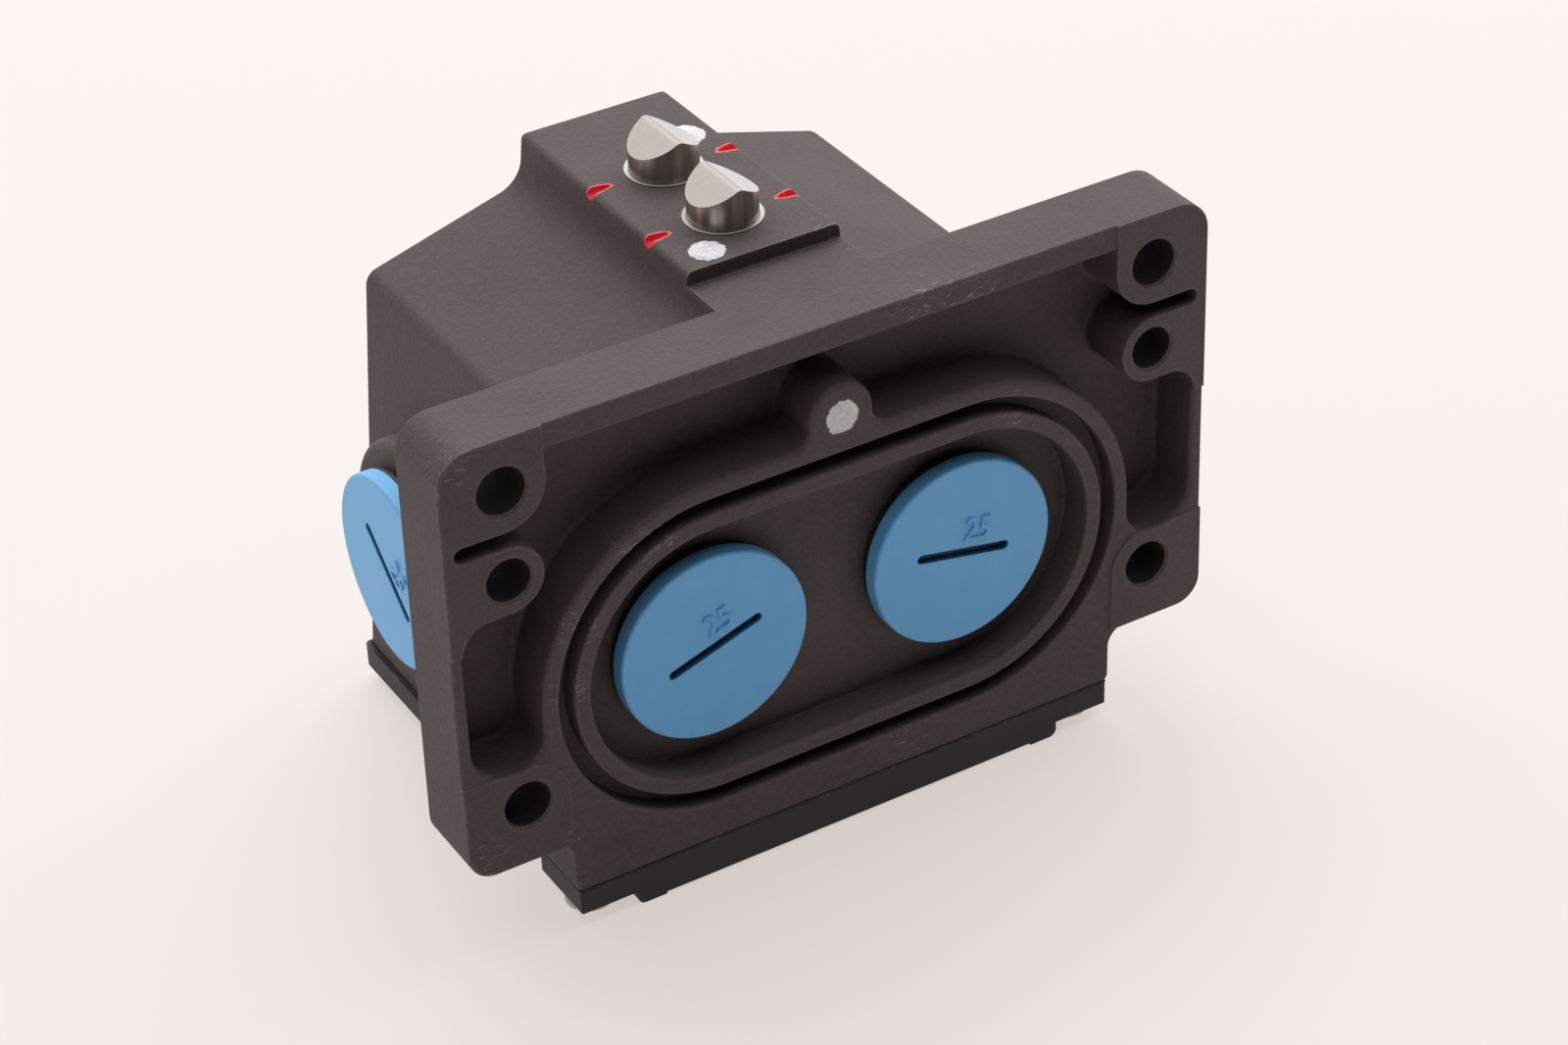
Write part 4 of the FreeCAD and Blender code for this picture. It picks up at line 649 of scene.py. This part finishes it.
def plain_finish(name, dark, light, roughness, metallic, patch):
    """A finish whose colour and gloss drift between two tones, over a fine grain."""
    material, tree, shader, place = start_material(name, roughness, metallic)
    tone = use(tree, MOTTLE, Place=place, Patch_Size=patch).outputs["Tone"]
    feed(tree, shader, Base_Color=blend(tree, tone, dark + (1.0,), light + (1.0,)))
    smooth, rough = roughness - ROUGHNESS_SWING, roughness + ROUGHNESS_SWING
    feed(tree, shader, Roughness=spread(tree, tone, 0.0, 1.0, smooth, rough))
    bump(tree, shader, use(tree, GRAIN, Place=place, Grain_Size=0.3).outputs["Height"], 0.00002)
    return material


for row in PLAIN_FINISHES:
    keep_finish(row[0], plain_finish(*row))

# %% [markdown]
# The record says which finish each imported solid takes, in its slot, so the dressing follows the record and
# names no piece here.

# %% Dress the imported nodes
for part in frame["record"]["subparts"]:
    piece = nodes[part["node"]]
    piece.data.materials.clear()
    piece.data.materials.append(FINISHES[part["material_slot"]])

# %% [markdown]
# Three things are made here and not taken from the solids as they are: lacquer dots, merged springs, and
# raised numbers.
# Each becomes an object that rides on the housing, with its place in its mesh, as a imported solid has.

# %% A helper for new pieces
def new_piece(name, mesh, finish):
    """Makes an object of a bmesh, dressed and riding on the housing."""
    bmesh.ops.recalc_face_normals(mesh, faces=mesh.faces)
    data = bpy.data.meshes.new(name)
    mesh.to_mesh(data)
    mesh.free()
    piece = bpy.data.objects.new(name, data)
    bpy.context.scene.collection.objects.link(piece)
    data.materials.append(finish)
    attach(piece, "housing_body")
    return piece


# %% [markdown]
# The sealing lacquer was dabbed on, so each dot is a lump with a ragged edge. A short round plug fills the
# screw's seat. Its lid is drawn out wider and inset in rings, which gives enough points to move. Blender's
# noise then pushes the rings in and out, most at the rim, and lifts the middle unevenly.

# %% How a dot is ragged
DOT_PROUD = 0.3 * MM
LOBE_SHARE = 0.09
BROAD_LOBES, MIDDLE_LOBES, FINE_LOBES = 2.6, 6, 13
FINE_WEIGHT = 0.7
BUMPS = 5


def rim_noise(edge, seed):
    """How far the rim is pushed in or out in one direction, from three sizes of lobe."""
    lobe = lumps.noise(edge * BROAD_LOBES + Vector((seed, 0, 0)))
    lobe += lumps.noise(edge * MIDDLE_LOBES + Vector((0, seed, 0)))
    return lobe + FINE_WEIGHT * lumps.noise(edge * FINE_LOBES + Vector((0, 0, seed)))


def lump_height(flat, seed):
    """How high the lacquer stands at a point: nothing at the rim, and uneven in the middle."""
    bumpy = lumps.noise(flat * BUMPS + Vector((0, 0, seed)))
    return DOT_PROUD * max(0.0, 1 - flat.length ** 6) * min(1.0, max(0.35, 0.72 + 0.75 * bumpy))


print("a dot stands at most", DOT_PROUD / MM, "mm proud")

# %% Shape the lacquer dots
SEAT_RADIUS = 2.3 * MM
SEAT_DEPTH = 0.6 * MM
DOT_SEGMENTS = 96
RINGS = (1.0, 0.96, 0.88, 0.75, 0.6, 0.4, 0.2)


def add_dot(mesh, centre, along, up, radius, aside, seed):
    """Adds one closed lump that stands out along the cross product of its two directions."""
    before = set(mesh.verts)
    plug = bmesh.ops.create_cone(
        mesh, cap_ends=True, segments=DOT_SEGMENTS, radius1=SEAT_RADIUS, radius2=SEAT_RADIUS,
        depth=SEAT_DEPTH, matrix=Matrix.Translation((0, 0, -SEAT_DEPTH / 2)),
    )["verts"]
    plug_faces = {face for vert in plug for face in vert.link_faces}
    lid = max(plug_faces, key=lambda face: face.calc_center_median().z)
    lid = bmesh.ops.extrude_discrete_faces(mesh, faces=[lid])["faces"][0]
    widen = radius / SEAT_RADIUS
    bmesh.ops.scale(mesh, verts=lid.verts, vec=(widen, widen, 1))
    for outer, inner in zip(RINGS, RINGS[1:]):
        step = radius * (outer - inner)
        bmesh.ops.inset_individual(mesh, faces=[lid], thickness=step, use_even_offset=True)
    made = [vert for vert in mesh.verts if vert not in before]
    for vert in set(made) - set(plug):
        flat = vert.co / radius
        part = flat.length
        edge = flat.normalized()
        reach = part + LOBE_SHARE * rim_noise(edge, seed) * part ** 3
        vert.co = edge * radius * reach + aside + Vector((0, 0, lump_height(flat, seed)))
    lay = Matrix.Translation(centre) @ Matrix((along, up, along.cross(up))).transposed().to_4x4()
    bmesh.ops.transform(mesh, matrix=lay, verts=made)


# %% [markdown]
# Two dots lie on the guide block's top, and the third on the front of the boss. Each row holds the dot's
# centre, the direction that is up on its face, its radius and how far the dab has slid aside, in millimetres.

# %% Place the lacquer dots
ALONG = Vector((1, 0, 0))
DOTS = (
    ((-6.7, 22.9, 34.8), (0, 1, 0), 2.55, (0, 0, 0)),
    ((6.7, 53.0, 34.8), (0, 1, 0), 3.0, (0.3, -0.4, 0)),
    ((0.0, 0.3, 18.0), (0, 0, 1), 2.52, (0, 0, 0)),
)
FIRST_SEED = 3
SEED_STEP = 7.3

dots = bmesh.new()
for seed, (centre, up, radius, aside) in enumerate(DOTS, start=FIRST_SEED):
    add_dot(dots, Vector(centre) * MM, ALONG, Vector(up), radius * MM, Vector(aside) * MM, seed * SEED_STEP)
dot_piece = new_piece("lacquer_dots", dots, FINISHES["lacquer"])
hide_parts("lacquer_seals")
print("lacquer dots:", len(dot_piece.data.polygons), "faces")

# %% [markdown]
# The return springs inside shorten as their plungers go down. A merged copy of each spring takes its place,
# riding on the housing with a mesh of its own.

# %% Merged copies of the return springs
SAME_PLACE = 0.0001 * MM

for side, depth in zip(("front", "rear"), PLUNGER_DEPTHS):
    coil = bmesh.new()
    coil.from_mesh(nodes["return_spring_" + side].data)
    bmesh.ops.remove_doubles(coil, verts=coil.verts, dist=SAME_PLACE)
    spring = new_piece("spring_" + side, coil, FINISHES["spring_steel"])
    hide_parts("return_spring_" + side)
    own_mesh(spring)

# %% [markdown]
# Each plug carries the number of its thread, raised above its slot. Blender's own plain letters are turned
# into a mesh, whose loose faces are merged so that it is closed. It is scaled to be one unit high, so that the
# next step can lay it on any face at any size.

# %% The shape of a number
MERGE_WITHIN = 0.0005
CURVE_STEPS = 4


def number_mesh(figures):
    """A closed mesh of flat raised figures round the origin, one unit high."""
    words = bpy.data.curves.new("figures", "FONT")
    words.body = figures
    words.align_x = "CENTER"
    words.align_y = "CENTER"
    words.extrude = 0.5
    words.resolution_u = CURVE_STEPS
    holder = bpy.data.objects.new("figures", words)
    data = bpy.data.meshes.new_from_object(holder)
    mesh = bmesh.new()
    mesh.from_mesh(data)
    bmesh.ops.remove_doubles(mesh, verts=mesh.verts, dist=MERGE_WITHIN)
    low = min(vert.co.y for vert in mesh.verts)
    high = max(vert.co.y for vert in mesh.verts)
    for vert in mesh.verts:
        vert.co.y = (vert.co.y - (low + high) / 2) / (high - low)
        vert.co.x = vert.co.x / (high - low)
    bpy.data.objects.remove(holder)
    bpy.data.curves.remove(words)
    bpy.data.meshes.remove(data)
    return mesh


# %% [markdown]
# A plug is screwed in until it is tight, so no two slots stand alike. Each plug has a direction in which its
# number reads and one that is up, both turned with its slot. They become the columns of a matrix that lays the
# number on the plug's face, half sunk so that it grows out of it.

# %% Numbers on the plugs
THREAD_NUMBER = "25"
NUMBER_HEIGHT = 3.7 * MM
NUMBER_NARROW = 0.85
NUMBER_PROUD = 0.35 * MM
NUMBER_ALONG = 1.7 * MM
NUMBER_RISE = 3.7 * MM


def turned(degrees):
    """The reading direction and the upward one of a front plug whose slot is turned by an angle."""
    angle = math.radians(degrees)
    along = Vector((math.cos(angle), 0, math.sin(angle)))
    return along, Vector((-math.sin(angle), 0, math.cos(angle)))


PLUG_TURNS = {
    "left": turned(18.0),
    "right": turned(-11.0),
    "side": (Vector((0, -0.743, -0.669)), Vector((0, -0.669, 0.743))),
}
for side, (along, up) in PLUG_TURNS.items():
    figures = number_mesh(THREAD_NUMBER)
    middle = PLUG_FACES[side][0] + along * NUMBER_ALONG + up * NUMBER_RISE
    width = along * NUMBER_HEIGHT * NUMBER_NARROW
    height = up * NUMBER_HEIGHT
    thickness = along.cross(up) * NUMBER_PROUD * 2
    columns = Matrix((width, height, thickness)).transposed().to_4x4()
    figures.transform(Matrix.Translation(middle) @ columns)
    number = new_piece("number_" + side, figures, FINISHES["plug_plastic"])
    print(number.name, len(number.data.polygons), "faces")

# %% [markdown]
# The switch stands in a tent of white cloth, lit from above and behind, with the open and darker side towards
# the camera. Five large softboxes stand in for the tent's walls. Large lights close by give soft reflections
# in the steel. Each row holds a light's name, place and size in metres, and its watts.

# %% Light the tent
TENT_AIM = Vector((0.0, 0.03, 0.0))
TENT = (
    ("tent_top", (0.0, 0.1, 1.6), 2.4, 20.5),
    ("tent_back", (0.0, 1.7, 1.2), 2.6, 35.0),
    ("tent_right", (1.7, 0.45, 0.8), 1.8, 19.5),
    ("tent_right_back", (1.25, 1.25, 1.25), 1.8, 8.0),
    ("tent_left", (-1.7, 0.45, 0.8), 1.8, 4.8),
)


def softbox(name, place, aim, size, watts):
    """A square soft light that looks at a point."""
    light = bpy.data.lights.new(name, "AREA")
    light.shape = "SQUARE"
    light.size = size
    light.energy = watts
    holder = bpy.data.objects.new(name, light)
    bpy.context.scene.collection.objects.link(holder)
    turn = (aim - place).to_track_quat("-Z", "Y").to_matrix().to_4x4()
    holder.matrix_world = Matrix.Translation(place) @ turn


for name, place, size, watts in TENT:
    softbox(name, Vector(place), TENT_AIM, size, watts)

world = bpy.data.worlds.new("studio")
world.use_nodes = True
sky = world.node_tree.nodes["Background"]
sky.inputs["Color"].default_value = (1.0, 0.985, 0.975, 1.0)
sky.inputs["Strength"].default_value = 0.012
bpy.context.scene.world = world
print("softboxes:", len(TENT), "with", sum(row[3] for row in TENT), "W")

# %% [markdown]
# The pale floor throws light up on the front faces. The camera and mirror-like surfaces see part of it as if
# it glowed, as a cloth lit from below does, so shadows on it stay soft. The glow is kept to those rays, so it
# puts no extra light on the switch.

# %% Lay the floor
FLOOR_LEVEL = cad_box[0][2]
FLOOR_GAP = 0.05 * MM
FLOOR_SIZE = 3.0
FLOOR_PAPER = (0.84, 0.785, 0.765, 1.0)
FLOOR_GLOW = (0.97, 0.902, 0.876, 1.0)
GLOW_SHARE = 0.58

floor_mesh = bmesh.new()
bmesh.ops.create_grid(floor_mesh, x_segments=1, y_segments=1, size=FLOOR_SIZE)
bmesh.ops.translate(floor_mesh, verts=floor_mesh.verts, vec=(0.0, 0.0, FLOOR_LEVEL - FLOOR_GAP))
floor_data = bpy.data.meshes.new("floor")
floor_mesh.to_mesh(floor_data)
floor_mesh.free()
floor = bpy.data.objects.new("floor", floor_data)
bpy.context.scene.collection.objects.link(floor)

paper, paper_tree, paper_shader, _ = start_material("floor_paper", 0.7)
paper_shader.inputs["Base Color"].default_value = FLOOR_PAPER
paper_shader.inputs["Specular IOR Level"].default_value = 0.2
glow = add(paper_tree, "ShaderNodeEmission")
feed(paper_tree, glow, Color=FLOOR_GLOW, Strength=1.0)
rays = add(paper_tree, "ShaderNodeLightPath").outputs
seen = maths(paper_tree, "MAXIMUM", rays["Is Camera Ray"], rays["Is Glossy Ray"])
share = maths(paper_tree, "MULTIPLY", seen, GLOW_SHARE)
mix = add(paper_tree, "ShaderNodeMixShader")
feed(paper_tree, mix, in_0=share, in_1=paper_shader.outputs[0], in_2=glow.outputs[0])
feed(paper_tree, paper_tree.nodes["Material Output"], Surface=mix.outputs[0])
floor_data.materials.append(paper)
print("floor lies at", round(1000 * FLOOR_LEVEL, 2), "mm")
